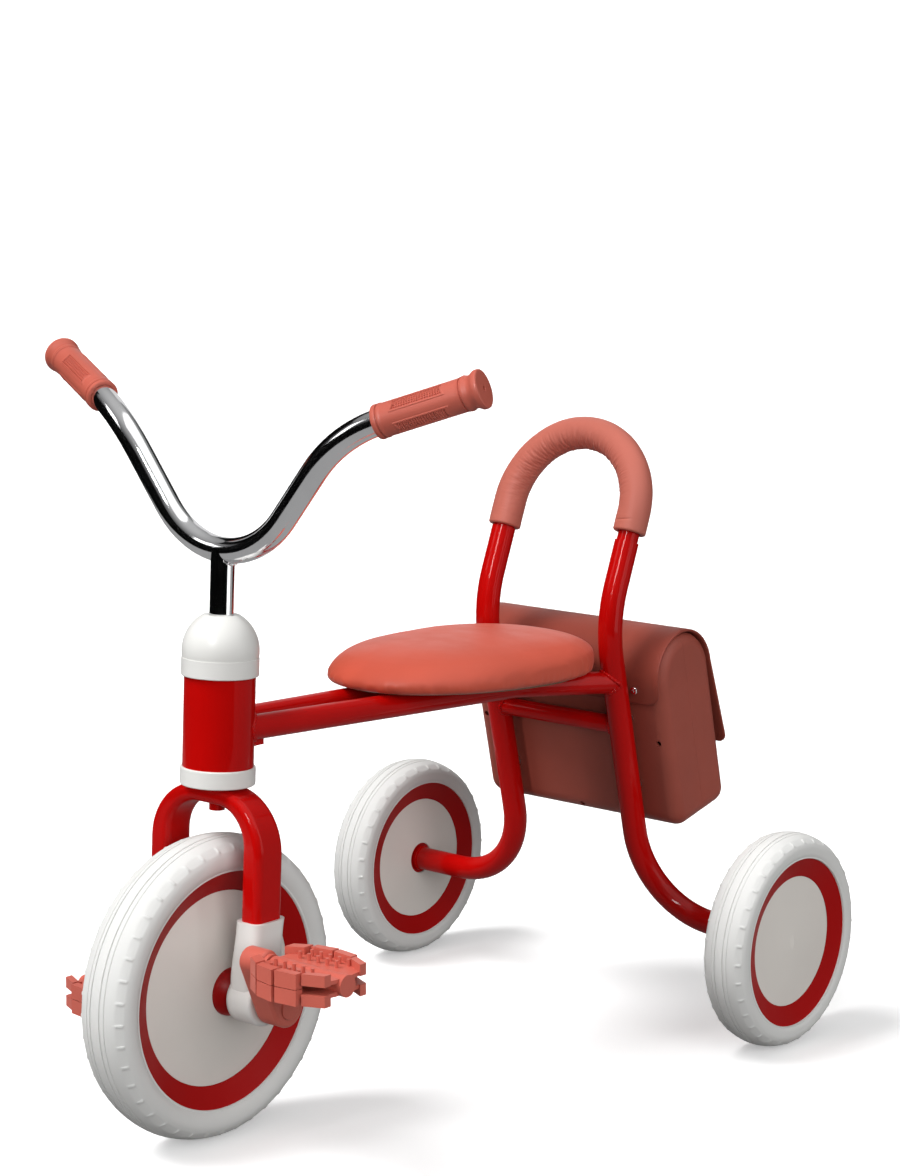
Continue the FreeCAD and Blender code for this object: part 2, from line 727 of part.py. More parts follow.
def fork_outline():
    """Front outline of the fork: two legs bent over into a flat-topped crown."""
    low = dim("fork_leg_bottom")
    flat = dim("fork_crown_flat")
    top = dim("fork_crown_top")
    under = dim("fork_crown_under")
    outer = dim("fork_half_width") + dim("fork_leg_thick") / 2.0
    inner = outer - dim("fork_leg_thick")
    k = math.sqrt(0.5)

    def at(x, z):
        return Vector(x, 0, z)

    def shoulder(side, half, level):
        bend = half - flat
        middle = at(side * (flat + bend * k), level - bend * (1 - k))
        return at(side * half, level - bend), middle, at(side * flat, level)

    edges = []
    for half, level in ((outer, top), (inner, under)):
        rising = shoulder(1, half, level)
        falling = shoulder(-1, half, level)
        edges += [Part.LineSegment(at(half, low), rising[0]).toShape(),
                  Part.Arc(*rising).toShape(),
                  Part.LineSegment(rising[2], falling[2]).toShape(),
                  Part.Arc(*falling).toShape(),
                  Part.LineSegment(falling[0], at(-half, low)).toShape()]
    for side in (1, -1):
        edges.append(Part.LineSegment(at(side * outer, low), at(side * inner, low)).toShape())
    return Part.Wire(Part.__sortEdges__(edges))


depth = dim("fork_leg_deep")
arch = Part.Face(fork_outline()).extrude(Vector(0, depth, 0))
arch.translate(Vector(0, -depth / 2.0, 0))
long_edges = []
for edge in arch.Edges:
    box = edge.BoundBox
    if box.YLength < 1e-6 and box.ZMax > dim("fork_leg_bottom") + 1.0:
        long_edges.append(edge)
arch = arch.makeFillet(dim("fork_leg_corner"), long_edges)
leg_bore_top = dim("fork_crown_top") - 56.0
for side in (1, -1):
    arch = arch.cut(fork_leg(side, dim("fork_leg_wall"), dim("fork_leg_bottom") - 1.0, leg_bore_top))
steerer_hole = Part.makeCylinder(dim("steerer_radius"), 40,
                                 Vector(0, 0, dim("fork_crown_under") + 3.5))
bolt_hole = Part.makeCylinder(4.15, 60, Vector(0, 0, dim("fork_crown_under") - 30))
fork_shape = arch.cut(steerer_hole).cut(bolt_hole)
feature("fork", fork_shape, STEER_PLACE)


def row_shape(shape, place):
    """A shape moved from a local frame into the row frame."""
    moved = shape.copy()
    moved.Placement = place.multiply(moved.Placement)
    return moved


def fork_shell(side):
    """Moulded fork end: a socket for the leg above a round bearing barrel."""
    half = dim("fork_half_width")
    lean = math.tan(math.radians(dim("rake_angle")))
    sections = []
    for level, thick, deep, corner in ((dim("shell_top"), 26.0, 36.4, 7.5),
                                       (dim("shell_top") - 24, 26.6, 37.0, 8.0),
                                       (FRONT_HEIGHT + 8, 28.0, 36.6, 9.0),
                                       (FRONT_HEIGHT - 6, 27.0, 30.0, 10.0)):
        drift = lean * level * max(0.0, (level - FRONT_HEIGHT)) / (dim("shell_top") - FRONT_HEIGHT)
        centre = Vector(side * (half - 0.4), SHIFT + drift, level)
        sections.append(rounded_section(thick, deep, corner, centre))
    upper = Part.makeLoft(sections, True, False)
    barrel = rod(dim("shell_barrel_radius"),
                 AXLE_CENTRE + Vector(side * dim("shell_barrel_inner"), 0, 0),
                 AXLE_CENTRE + Vector(side * dim("shell_barrel_outer"), 0, 0))
    rims = [edge for edge in barrel.Edges if edge.BoundBox.XLength < 1e-6]
    barrel = barrel.makeFillet(3.0, rims)
    shell = upper.fuse(barrel).removeSplitter()
    leg = row_shape(fork_leg(side, 0.0, dim("fork_leg_bottom"), dim("shell_top") + 20.0),
                    STEER_PLACE)
    pocket = rod(dim("front_axle_radius") + RUN, AXLE_CENTRE + Vector(side * 20, 0, 0),
                 AXLE_CENTRE + Vector(side * 80, 0, 0))
    return shell.cut(leg).cut(pocket)


for side in (1, -1):
    feature("fork_shell_" + side_name(side), fork_shell(side))

# ---------------------------------------------------------------- handlebar


def bar_point(x, back, rise):
    return Vector(x, back + SHIFT, rise)


APEX = bar_point(0, dim("bar_apex_back"), dim("bar_apex_rise"))
GRIP_AXIS = {}
bar_points = []
for side in (-1, 1):
    corner = bar_point(side * dim("bar_corner_width"), dim("bar_corner_back"),
                       dim("bar_corner_rise"))
    end = bar_point(side * dim("grip_width"), dim("grip_back"), dim("grip_rise"))
    outward = (end - corner).normalize()
    GRIP_AXIS[side] = (end, outward)
    stop = end - outward * 4.0
    bar_points.append((corner, stop))
bar_path = filleted_path(
    [bar_points[0][1], bar_points[0][0], APEX, bar_points[1][0], bar_points[1][1]],
    [dim("bar_upper_bend"), dim("bar_bottom_bend"), dim("bar_upper_bend")])
bar_solid = swept(bar_path, dim("bar_radius"))
bar_tube = bar_solid.cut(swept(bar_path, dim("bar_bore")))
feature("handlebar", bar_tube)

stem_rise = dim("bar_apex_rise") + 52.0
stem = Part.makeCylinder(dim("stem_radius"), stem_rise - dim("stem_bottom"),
                         Vector(0, 0, dim("stem_bottom")))
bore = Part.makeCylinder(7.4, stem_rise - dim("stem_bottom") - 14.0,
                         Vector(0, 0, dim("stem_bottom") + 14.0))
thread = Part.makeCylinder(4.1, 16.0, Vector(0, 0, dim("stem_bottom") - 1.0))
stem = row_shape(stem.cut(bore).cut(thread), STEER_PLACE)
stem_cut = stem.cut(bar_solid)
stem_solid = max(stem_cut.Solids, key=lambda solid: solid.Volume)
feature("stem", stem_solid)


def grip(side):
    """Moulded grip: end flange, two bead rings and a rounded mouth on a straight sleeve."""
    end, outward = GRIP_AXIS[side]
    length = dim("grip_length")
    profile = [
        (0.0, 0.0), (dim("grip_flange") - 1.5, 0.0), (dim("grip_flange"), -1.5),
        (dim("grip_flange"), -6.0), (dim("grip_flange") - 1.2, -7.4),
        (dim("grip_radius") + 0.4, -8.2), (dim("grip_radius") + 0.4, -10.0),
        (dim("grip_radius") + 1.5, -11.4), (dim("grip_radius") + 1.5, -13.6),
        (dim("grip_radius"), -15.0), (dim("grip_radius"), 8.0 - length),
        (dim("grip_radius") + 1.3, 6.6 - length), (dim("grip_radius") + 1.3, 1.4 - length),
        (dim("grip_radius"), 0.0 - length), (0.0, 0.0 - length)]
    pts = [Vector(r, 0, z) for r, z in profile]
    pts.append(pts[0])
    face = Part.Face(Part.makePolygon(pts))
    body = face.revolve(Vector(0, 0, 0), Vector(0, 0, 1), 360)
    vent = Part.makeCylinder(1.6, 12, Vector(0, 0, -8))
    body = body.cut(vent)
    body.Placement = Placement(end, Rotation(Vector(0, 0, 1), outward))
    return body.cut(bar_solid)


for side in (1, -1):
    feature("grip_" + side_name(side), grip(side))

# ---------------------------------------------------------------- rear frame

LEAN = math.atan(dim("leg_slope"))
BACKLEAN = math.atan(dim("upright_slope"))


def leg_back(rise):
    """Distance back from the front axle to a leg's centre at a height below the bend."""
    return dim("leg_bend_back") + dim("leg_slope") * (dim("leg_bend_rise") - rise)


def frame_point(x, back, rise):
    return Vector(x, SHIFT + back, rise)


def upright_point(x, rise):
    back = dim("leg_bend_back") + dim("upright_slope") * (rise - dim("leg_bend_rise"))
    return frame_point(x, back, rise)


def leg_path(side):
    half = side * dim("leg_half_width")
    points = [
        frame_point(side * dim("stub_end"), WHEELBASE, REAR_HEIGHT),
        frame_point(half, WHEELBASE, REAR_HEIGHT),
        frame_point(half, dim("leg_bend_back"), dim("leg_bend_rise")),
        upright_point(half, dim("upright_top"))]
    return filleted_path(points, [dim("stub_bend"), dim("leg_bend_radius")])


TUBE = dim("frame_tube_radius")
TUBE_BORE = TUBE - dim("frame_tube_wall")
hoop_drop = dim("hoop_top_rise") - dim("leg_bend_rise")
HOOP_UP = Vector(0, math.sin(BACKLEAN), math.cos(BACKLEAN))
HOOP_TOP = hoop_drop / math.cos(BACKLEAN)


def hoop_path(rise):
    """Both uprights' inner tube: straight from a height, over the half-circle and down."""
    base = frame_point(0, dim("leg_bend_back"), dim("leg_bend_rise"))
    half = dim("hoop_radius")
    spring = HOOP_TOP - half
    begin = (rise - dim("leg_bend_rise")) / math.cos(BACKLEAN)
    side_x = Vector(half, 0, 0)
    low_left = base + HOOP_UP * begin + side_x
    high_left = base + HOOP_UP * spring + side_x
    crest = base + HOOP_UP * HOOP_TOP
    high_right = base + HOOP_UP * spring - side_x
    low_right = base + HOOP_UP * begin - side_x
    return Part.Wire([Part.LineSegment(low_left, high_left).toShape(),
                      Part.Arc(high_left, crest, high_right).toShape(),
                      Part.LineSegment(high_right, low_right).toShape()])


BAG_TILT = Rotation(Vector(1, 0, 0), math.degrees(LEAN))
BAG_RISE = 262.0
BAG_GAP = (TUBE + 0.35 + dim("flap_thick") + 0.15) / math.cos(LEAN)
BAG_PLACE = Placement(frame_point(0, leg_back(BAG_RISE) + BAG_GAP, BAG_RISE), BAG_TILT)
BOLT_LEVELS = (22.0, -44.0)


def bag_bolt_shafts(radius, front, back):
    """Round shafts through the legs at the four bag bolts, in the bag's frame."""
    shafts = []
    for side in (1, -1):
        for level in BOLT_LEVELS:
            shafts.append(rod(radius, Vector(side * dim("leg_half_width"), front, level),
                              Vector(side * dim("leg_half_width"), back, level)))
    return shafts


brace_start = frame_point(-dim("leg_half_width"), leg_back(dim("brace_rise")), dim("brace_rise"))
brace_end = frame_point(dim("leg_half_width"), leg_back(dim("brace_rise")), dim("brace_rise"))
leg_solids = {}
for side in (1, -1):
    path = leg_path(side)
    outer = swept(path, TUBE)
    leg_solids[side] = outer
    flare = rod(TUBE + 1.3, frame_point(side * (dim("stub_end") - 3.5), WHEELBASE, REAR_HEIGHT),
                frame_point(side * dim("stub_end"), WHEELBASE, REAR_HEIGHT))
    tube = outer.fuse(flare).cut(swept(leg_path(side), TUBE_BORE))
    plug = rod(TUBE - 0.2, frame_point(side * (dim("stub_end") - 30), WHEELBASE, REAR_HEIGHT),
               frame_point(side * dim("stub_end"), WHEELBASE, REAR_HEIGHT))
    axle_hole = rod(dim("rear_axle_radius"),
                    frame_point(side * (dim("stub_end") - 40), WHEELBASE, REAR_HEIGHT),
                    frame_point(side * (dim("stub_end") + 10), WHEELBASE, REAR_HEIGHT))
    tube = tube.fuse(plug).cut(axle_hole)
    crown = upright_point(side * dim("leg_half_width"), dim("upright_top") - 0.01)
    neck = rod(TUBE - 0.2, crown - HOOP_UP * 26, crown)
    tube = tube.fuse(neck).cut(swept(hoop_path(dim("upright_top") - 22.0),
                                     dim("hoop_tube_radius")))
    for shaft in bag_bolt_shafts(2.7, -TUBE - 4, 4):
        tube = tube.cut(row_shape(shaft, BAG_PLACE))
    tube = max(tube.Solids, key=lambda solid: solid.Volume)
    feature("rear_frame_" + side_name(side), tube)

    axle = rod(dim("rear_axle_radius"),
               frame_point(side * (dim("stub_end") - 30), WHEELBASE, REAR_HEIGHT),
               frame_point(side * (dim("rear_track") / 2 + dim("rear_axle_outer_end")),
                           WHEELBASE, REAR_HEIGHT))
    thread = rod(3.0, frame_point(side * (dim("rear_track") / 2 - 8), WHEELBASE, REAR_HEIGHT),
                 frame_point(side * (dim("rear_track") / 2 + 20), WHEELBASE, REAR_HEIGHT))
    feature("rear_axle_" + side_name(side), axle.cut(thread))

hoop_tube = swept_tube(hoop_path(dim("upright_top") - 22.0), dim("hoop_tube_radius"),
                       dim("hoop_tube_radius") - 1.4)
feature("backrest_hoop", hoop_tube)
foam = swept_tube(hoop_path(dim("foam_start")), dim("foam_radius"), dim("foam_bore"))
feature("backrest_foam", foam)

brace = rod(dim("brace_radius"), brace_start, brace_end)
brace = brace.cut(rod(dim("brace_radius") - 1.4, brace_start, brace_end))
for side in (1, -1):
    brace = brace.cut(leg_solids[side])
brace = max(brace.Solids, key=lambda solid: solid.Volume)
feature("cross_brace", brace)


def rail_rise(back):
    return dim("rail_front_rise") - dim("rail_slope") * (back - 41.7)


head_solid = row_shape(Part.makeCylinder(dim("head_tube_radius"), 160, Vector(0, 0, 280)),
                       STEER_PLACE)
rail_solids = []
for side in (1, -1):
    end_back = leg_back(320.0)
    points = [
        frame_point(side * dim("rail_front_half"), 22.0, rail_rise(22.0)),
        frame_point(side * dim("rail_bend_half"), dim("rail_bend_back"),
                    rail_rise(dim("rail_bend_back"))),
        frame_point(side * (dim("leg_half_width") + 1.0), end_back, rail_rise(end_back))]
    path = filleted_path(points, [dim("rail_bend_radius")])
    bar = swept(path, dim("rail_radius"))
    rail_solids.append(bar)
    rail = bar.cut(swept(path, dim("rail_radius") - dim("rail_wall")))
    rail = rail.cut(head_solid).cut(leg_solids[side])
    for back in (232.0, 352.0):
        spot = frame_point(side * (dim("rail_front_half") + 0.0374 * (back - 22.0)), back, 300.0)
        rail = rail.cut(rod(3.0, spot + Vector(0, 0, 24), spot + Vector(0, 0, 60)))
    rail = max(rail.Solids, key=lambda solid: solid.Volume)
    feature("seat_rail_" + side_name(side), rail)

gusset = Part.makeBox(34.0, 13.0, 12.0,
                      Vector(-17.0, SHIFT + 34.5, rail_rise(41.0) - dim("rail_radius") - 5.0))
gusset = gusset.cut(head_solid)
for bar in rail_solids:
    gusset = gusset.cut(bar)
gusset = max(gusset.Solids, key=lambda solid: solid.Volume)
feature("rail_gusset", gusset)

# ---------------------------------------------------------------- rear axle ends

washers = []
screws = []
for side in (1, -1):
    shoulder = dim("rear_track") / 2 + dim("rear_axle_outer_end")
    start = frame_point(side * (shoulder + 0.05), WHEELBASE, REAR_HEIGHT)
    outward = Vector(side, 0, 0)
    washer = rod(11.0, start, start + outward * 1.5).cut(rod(3.0, start, start + outward * 1.5))
    washers.append(washer)
    head = rod(5.5, start + outward * 1.5, start + outward * 4.0)
    shank = rod(3.0, start - outward * 14.0, start + outward * 2.0)
    screws.append(head.fuse(shank).removeSplitter())
feature("axle_washers", Part.makeCompound(washers))
feature("axle_screws", Part.makeCompound(screws))

# ---------------------------------------------------------------- seat

SEAT_TILT = math.degrees(math.atan(dim("rail_slope")))
SEAT_PLACE = Placement(
    frame_point(0, dim("seat_centre_back"),
                rail_rise(dim("seat_centre_back")) + dim("rail_radius") + 0.15),
    Rotation(Vector(1, 0, 0), -SEAT_TILT))


def stretched(half, ratio):
    """A half-turned solid scaled along Y."""
    matrix = FreeCAD.Matrix()
    matrix.scale(1.0, ratio, 1.0)
    return half.transformGeometry(matrix)


def egg_solid(outline):
    """Solid turned from an outline, stretched more towards the front than the back."""
    width = dim("seat_half_width")
    halves = []
    for start, reach in ((0.0, dim("seat_back_half")), (180.0, dim("seat_front_half"))):
        face = Part.Face(outline)
        face.rotate(Vector(0, 0, 0), Vector(0, 0, 1), start)
        turned_half = face.revolve(Vector(0, 0, 0), Vector(0, 0, 1), 180)
        halves.append(stretched(turned_half, reach / width))
    return halves[0].fuse(halves[1]).removeSplitter()


def seat_outline():
    """Side outline of the cushion: tucked lower edge, full side and a low crown."""
    width = dim("seat_half_width")
    top = dim("seat_height")

    def at(r, z):
        return Vector(r, 0, z)

    return Part.Wire([
        Part.LineSegment(at(0, 1.0), at(width - 6.0, 1.0)).toShape(),
        Part.Arc(at(width - 6.0, 1.0), at(width - 1.6, 3.6), at(width, 10.0)).toShape(),
        Part.LineSegment(at(width, 10.0), at(width, 17.0)).toShape(),
        Part.Arc(at(width, 17.0), at(width - 5.0, 28.2), at(width - 17.0, top - 3.8)).toShape(),
        Part.Arc(at(width - 17.0, top - 3.8), at(width * 0.45, top - 0.7), at(0, top)).toShape(),
        Part.LineSegment(at(0, top), at(0, 1.0)).toShape()])


def flat_outline(inset, low, high):
    """Rectangle outline for the board under the cushion."""
    width = dim("seat_half_width") - inset
    return Part.makePolygon([Vector(0, 0, low), Vector(width, 0, low), Vector(width, 0, high),
                             Vector(0, 0, high), Vector(0, 0, low)])


cushion = egg_solid(seat_outline())
board = egg_solid(flat_outline(9.0, 0.0, dim("board_thick")))
recess = egg_solid(flat_outline(8.7, -1.0, dim("board_thick") + 0.3))
bolt_spots = []
for side in (1, -1):
    for back in (232.0, 352.0):
        x = side * (dim("rail_front_half") + 0.0374 * (back - 22.0))
        bolt_spots.append(Vector(x, back - dim("seat_centre_back"), 0))
bolts = []
for spot in bolt_spots:
    board = board.cut(rod(2.5, spot + Vector(0, 0, -1), spot + Vector(0, 0, 10)))
    shank = rod(2.5, spot + Vector(0, 0, -6.4), spot + Vector(0, 0, 3.6))
    head = rod(4.0, spot + Vector(0, 0, -6.4), spot + Vector(0, 0, -3.6))
    bolts.append(head.fuse(shank).removeSplitter())
feature("seat_board", board, SEAT_PLACE)
feature("seat_cushion", cushion.cut(recess), SEAT_PLACE)
feature("seat_bolts", Part.makeCompound(bolts), SEAT_PLACE)

# ---------------------------------------------------------------- rear trunk

DEPTH = dim("bag_depth")
LOW = dim("bag_low")
ARCH = dim("bag_arch_centre")
MID = DEPTH / 2.0
WALL = dim("bag_wall")


def trunk_outline(inset):
    """Side outline of the trunk in its own frame: depth along Y and height along Z."""
    front = inset
    rear = DEPTH - inset
    low = -LOW + inset
    small = max(16.0 - inset, 1.0)
    large = max(14.0 - inset, 1.0)
    crest = ARCH + MID - inset
    k = math.sqrt(0.5)

    def at(y, z):
        return Vector(0, y, z)

    return Part.Wire([
        Part.LineSegment(at(front, ARCH), at(front, low + small)).toShape(),
        Part.Arc(at(front, low + small), at(front + small * (1 - k), low + small * (1 - k)),
                 at(front + small, low)).toShape(),
        Part.LineSegment(at(front + small, low), at(rear - large, low)).toShape(),
        Part.Arc(at(rear - large, low), at(rear - large * (1 - k), low + large * (1 - k)),
                 at(rear, low + large)).toShape(),
        Part.LineSegment(at(rear, low + large), at(rear, ARCH)).toShape(),
        Part.Arc(at(rear, ARCH), at(MID, crest), at(front, ARCH)).toShape()])


def trunk_block(inset):
    """Trunk solid with rounded ends."""
    half = dim("bag_half_width") - inset
    block = Part.Face(trunk_outline(inset)).extrude(Vector(2 * half, 0, 0))
    block.translate(Vector(-half, 0, 0))
    rims = [edge for edge in block.Edges if edge.BoundBox.XLength < 1e-6]
    return block.makeFillet(max(dim("bag_end_round") - inset, 1.0), rims)


shell = trunk_block(0.0).cut(trunk_block(WALL))
mouth = Part.makeBox(190.0, DEPTH, 60.0, Vector(-95.0, 22.0, ARCH + 2.0))
shell = shell.cut(mouth)
front_half = Part.makeBox(300, MID - 0.05, 300, Vector(-150, 0, -150))
rear_half = Part.makeBox(300, MID, 300, Vector(-150, MID + 0.05, -150))
front_shell = shell.common(front_half)
rear_shell = shell.common(rear_half)
FLAP_SCREWS = [Vector(side * 83.5, 0, 51.5) for side in (1, -1)]
for spot in FLAP_SCREWS:
    front_shell = front_shell.cut(rod(1.6, spot + Vector(0, -8, 0), spot + Vector(0, 8, 0)))
for shaft in bag_bolt_shafts(2.5, -8, 10):
    front_shell = front_shell.cut(shaft)
for x, level in ((101.0, 0.0), (-101.0, 0.0), (0.0, -78.0)):
    front_shell = front_shell.cut(rod(2.6, Vector(x, -1, level), Vector(x, 12, level)))
front_shell = max(front_shell.Solids, key=lambda solid: solid.Volume)
rear_shell = max(rear_shell.Solids, key=lambda solid: solid.Volume)
feature("trunk_front_shell", front_shell, BAG_PLACE)
feature("trunk_rear_shell", rear_shell, BAG_PLACE)

mount_bolts = []
for side in (1, -1):
    for level in BOLT_LEVELS:
        spot = Vector(side * dim("leg_half_width"), 0, level)
        shank = rod(2.5, spot + Vector(0, -7.0, 0), spot + Vector(0, WALL + 1, 0))
        collar = rod(4.5, spot + Vector(0, -2.55, 0), spot)
        head = rod(4.6, spot + Vector(0, WALL, 0), spot + Vector(0, WALL + 3.0, 0))
        mount_bolts.append(shank.fuse(collar).fuse(head).removeSplitter())
feature("trunk_bolts", Part.makeCompound(mount_bolts), BAG_PLACE)

# The lid strap: a fixed front tab and a hinged rear flap that share one fold line.
FLAP = dim("flap_thick")
FOLD = math.radians(dim("flap_fold_angle"))


def arch_point(radius, angle):
    """Point on the trunk's arch, the angle measured up from the front horizontal."""
    return Vector(0, MID - radius * math.cos(angle), ARCH + radius * math.sin(angle))


def strap_outline(inner, outer, start, stop, head=None, tail=None):
    """Side outline of a strap bent round the arch, with straight ends where given."""
    half = (start + stop) / 2.0
    loop = []
    if head is not None:
        loop.append(Part.LineSegment(head[0], arch_point(inner, start)).toShape())
    loop.append(Part.Arc(arch_point(inner, start), arch_point(inner, half),
                         arch_point(inner, stop)).toShape())
    if tail is None:
        loop.append(Part.LineSegment(arch_point(inner, stop), arch_point(outer, stop)).toShape())
    else:
        loop.append(Part.LineSegment(arch_point(inner, stop), tail[0]).toShape())
        loop.append(Part.LineSegment(tail[0], tail[1]).toShape())
        loop.append(Part.LineSegment(tail[1], arch_point(outer, stop)).toShape())
    loop.append(Part.Arc(arch_point(outer, stop), arch_point(outer, half),
                         arch_point(outer, start)).toShape())
    if head is None:
        loop.append(Part.LineSegment(arch_point(outer, start), arch_point(inner, start)).toShape())
    else:
        loop.append(Part.LineSegment(arch_point(outer, start), head[1]).toShape())
        loop.append(Part.LineSegment(head[1], head[0]).toShape())
    return Part.Wire(loop)


def strap(outline):
    half = dim("flap_half_width")
    solid = Part.Face(outline).extrude(Vector(2 * half, 0, 0))
    solid.translate(Vector(-half, 0, 0))
    return solid


def round_corners(solid, level, radius):
    """Round the strap's two free corners, seen square on, at a height."""
    half = dim("flap_half_width")
    for side in (1, -1):
        block = Part.makeBox(radius, 60, radius,
                             Vector(half - radius if side > 0 else -half, -15, level))
        if level < 0:
            block.translate(Vector(0, DEPTH - 10, 0))
        centre = Vector(side * (half - radius), -40, level + radius)
        solid = solid.cut(block.cut(Part.makeCylinder(radius, 240, centre, Vector(0, 1, 0))))
    return solid


LIFT = 0.15
inner = MID + LIFT
outer = MID + LIFT + FLAP
TAB_LOW = 38.0
tab = strap(strap_outline(inner, outer, 0.0, FOLD - 0.008,
                          head=(Vector(0, -LIFT, TAB_LOW), Vector(0, -LIFT - FLAP, TAB_LOW))))
tab = round_corners(tab, TAB_LOW, 14.0)
for spot in FLAP_SCREWS:
    tab = tab.cut(rod(1.6, spot + Vector(0, -8, 0), spot + Vector(0, 8, 0)))
feature("trunk_flap_tab", tab, BAG_PLACE)

lid_inner = MID + 0.45
lid_outer = lid_inner + FLAP
TAIL_LOW = -35.0
tail = (Vector(0, DEPTH + 9.6, TAIL_LOW), Vector(0, DEPTH + 9.6 + FLAP, TAIL_LOW))
lid = strap(strap_outline(lid_inner, lid_outer, FOLD + 0.008, math.pi, tail=tail))
lid = round_corners(lid, TAIL_LOW, 8.0)
feature("trunk_lid", lid, BAG_PLACE)

flap_screws = []
for spot in FLAP_SCREWS:
    shank = rod(1.6, spot + Vector(0, -FLAP - LIFT, 0), spot + Vector(0, 6.0, 0))
    head = rod(3.6, spot + Vector(0, -FLAP - LIFT - 1.9, 0), spot + Vector(0, -FLAP - LIFT, 0))
    rims = [edge for edge in head.Edges if edge.BoundBox.YMax < spot.y - FLAP - LIFT - 1.8]
    head = head.makeFillet(0.9, rims)
    slots = [Part.makeBox(4.4, 0.9, 0.9, spot + Vector(-2.2, -FLAP - LIFT - 2.0, -0.45)),
             Part.makeBox(0.9, 0.9, 4.4, spot + Vector(-0.45, -FLAP - LIFT - 2.0, -2.2))]
    for slot in slots:
        head = head.cut(slot)
    flap_screws.append(head.fuse(shank).removeSplitter())
feature("flap_screws", Part.makeCompound(flap_screws), BAG_PLACE)

# ---------------------------------------------------------------- check and write

doc.recompute()
for obj in doc.Objects:
    if "Invalid" in obj.State or "Error" in obj.State:
        raise RuntimeError("feature failed: " + obj.Label)
for label, obj in PIECES:
    if obj.Shape.isNull() or not obj.Shape.isValid() or not obj.Shape.Solids:
        raise RuntimeError("bad shape: " + label)

os.makedirs("parts", exist_ok=True)
for label, obj in PIECES:
    obj.Shape.exportStep(os.path.join("parts", label + ".step"))
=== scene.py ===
import json
import math

import bmesh
import bpy
import numpy as np
from mathutils import Matrix, Vector, noise


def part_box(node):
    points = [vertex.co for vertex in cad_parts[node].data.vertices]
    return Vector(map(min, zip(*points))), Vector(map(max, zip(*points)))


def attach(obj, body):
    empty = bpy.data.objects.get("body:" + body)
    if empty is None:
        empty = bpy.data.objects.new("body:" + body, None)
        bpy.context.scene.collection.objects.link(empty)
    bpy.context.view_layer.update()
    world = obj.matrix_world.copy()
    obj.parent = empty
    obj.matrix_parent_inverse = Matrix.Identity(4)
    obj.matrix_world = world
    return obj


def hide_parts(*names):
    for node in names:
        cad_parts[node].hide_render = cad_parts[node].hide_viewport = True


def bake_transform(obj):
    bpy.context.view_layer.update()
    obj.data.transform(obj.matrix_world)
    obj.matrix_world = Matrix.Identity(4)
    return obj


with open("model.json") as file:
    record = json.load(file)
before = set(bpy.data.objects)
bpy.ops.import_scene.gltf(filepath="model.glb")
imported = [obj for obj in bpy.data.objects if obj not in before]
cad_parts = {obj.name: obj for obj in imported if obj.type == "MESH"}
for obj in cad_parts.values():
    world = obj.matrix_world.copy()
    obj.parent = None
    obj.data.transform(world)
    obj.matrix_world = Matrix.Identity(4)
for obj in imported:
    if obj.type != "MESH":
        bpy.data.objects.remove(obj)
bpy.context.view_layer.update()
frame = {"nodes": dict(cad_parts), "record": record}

MM = 0.001
RAKE = math.radians(2.29)       # lean of the steering axis
LEG_SLOPE = 0.24307             # the rear legs and the trunk go this far forward per unit up


# ------------------------------------------------------------------ materials

def principled(name, color, rough, metal=0.0, coat=0.0, coat_rough=0.03, spec=0.5, sheen=0.0):
    """A new material with one Principled shader; constants go on the shader's own sockets."""
    mat = bpy.data.materials.new(name)
    mat.use_nodes = True
    shader = mat.node_tree.nodes["Principled BSDF"]
    shader.inputs["Base Color"].default_value = (*color, 1.0)
    shader.inputs["Roughness"].default_value = rough
    shader.inputs["Metallic"].default_value = metal
    shader.inputs["Specular IOR Level"].default_value = spec
    shader.inputs["Coat Weight"].default_value = coat
    shader.inputs["Coat Roughness"].default_value = coat_rough
    shader.inputs["Sheen Weight"].default_value = sheen
    return mat, mat.node_tree, shader


def noise_node(tree, scale, detail=3.0, rough=0.5, stretch=None):
    """Noise over object coordinates, optionally stretched along an axis."""
    coords = tree.nodes.new("ShaderNodeTexCoord")
    tex = tree.nodes.new("ShaderNodeTexNoise")
    tex.inputs["Scale"].default_value = scale
    tex.inputs["Detail"].default_value = detail
    tex.inputs["Roughness"].default_value = rough
    if stretch is None:
        tree.links.new(coords.outputs["Object"], tex.inputs["Vector"])
    else:
        mapping = tree.nodes.new("ShaderNodeMapping")
        mapping.inputs["Scale"].default_value = stretch
        tree.links.new(coords.outputs["Object"], mapping.inputs["Vector"])
        tree.links.new(mapping.outputs["Vector"], tex.inputs["Vector"])
    return tex


def vary_color(tree, shader, dark, light, tex, low=0.35, high=0.65):
    """Base colour that drifts between two tones with a texture."""
    ramp = tree.nodes.new("ShaderNodeValToRGB")
    ramp.color_ramp.elements[0].position = low
    ramp.color_ramp.elements[0].color = (*dark, 1.0)
    ramp.color_ramp.elements[1].position = high
    ramp.color_ramp.elements[1].color = (*light, 1.0)
    tree.links.new(tex.outputs[0], ramp.inputs["Fac"])
    tree.links.new(ramp.outputs["Color"], shader.inputs["Base Color"])


def vary_rough(tree, shader, low, high, tex):
    """Roughness that drifts between two values with a texture."""
    ramp = tree.nodes.new("ShaderNodeMapRange")
    ramp.inputs["From Min"].default_value = 0.3
    ramp.inputs["From Max"].default_value = 0.7
    ramp.inputs["To Min"].default_value = low
    ramp.inputs["To Max"].default_value = high
    tree.links.new(tex.outputs[0], ramp.inputs["Value"])
    tree.links.new(ramp.outputs["Result"], shader.inputs["Roughness"])


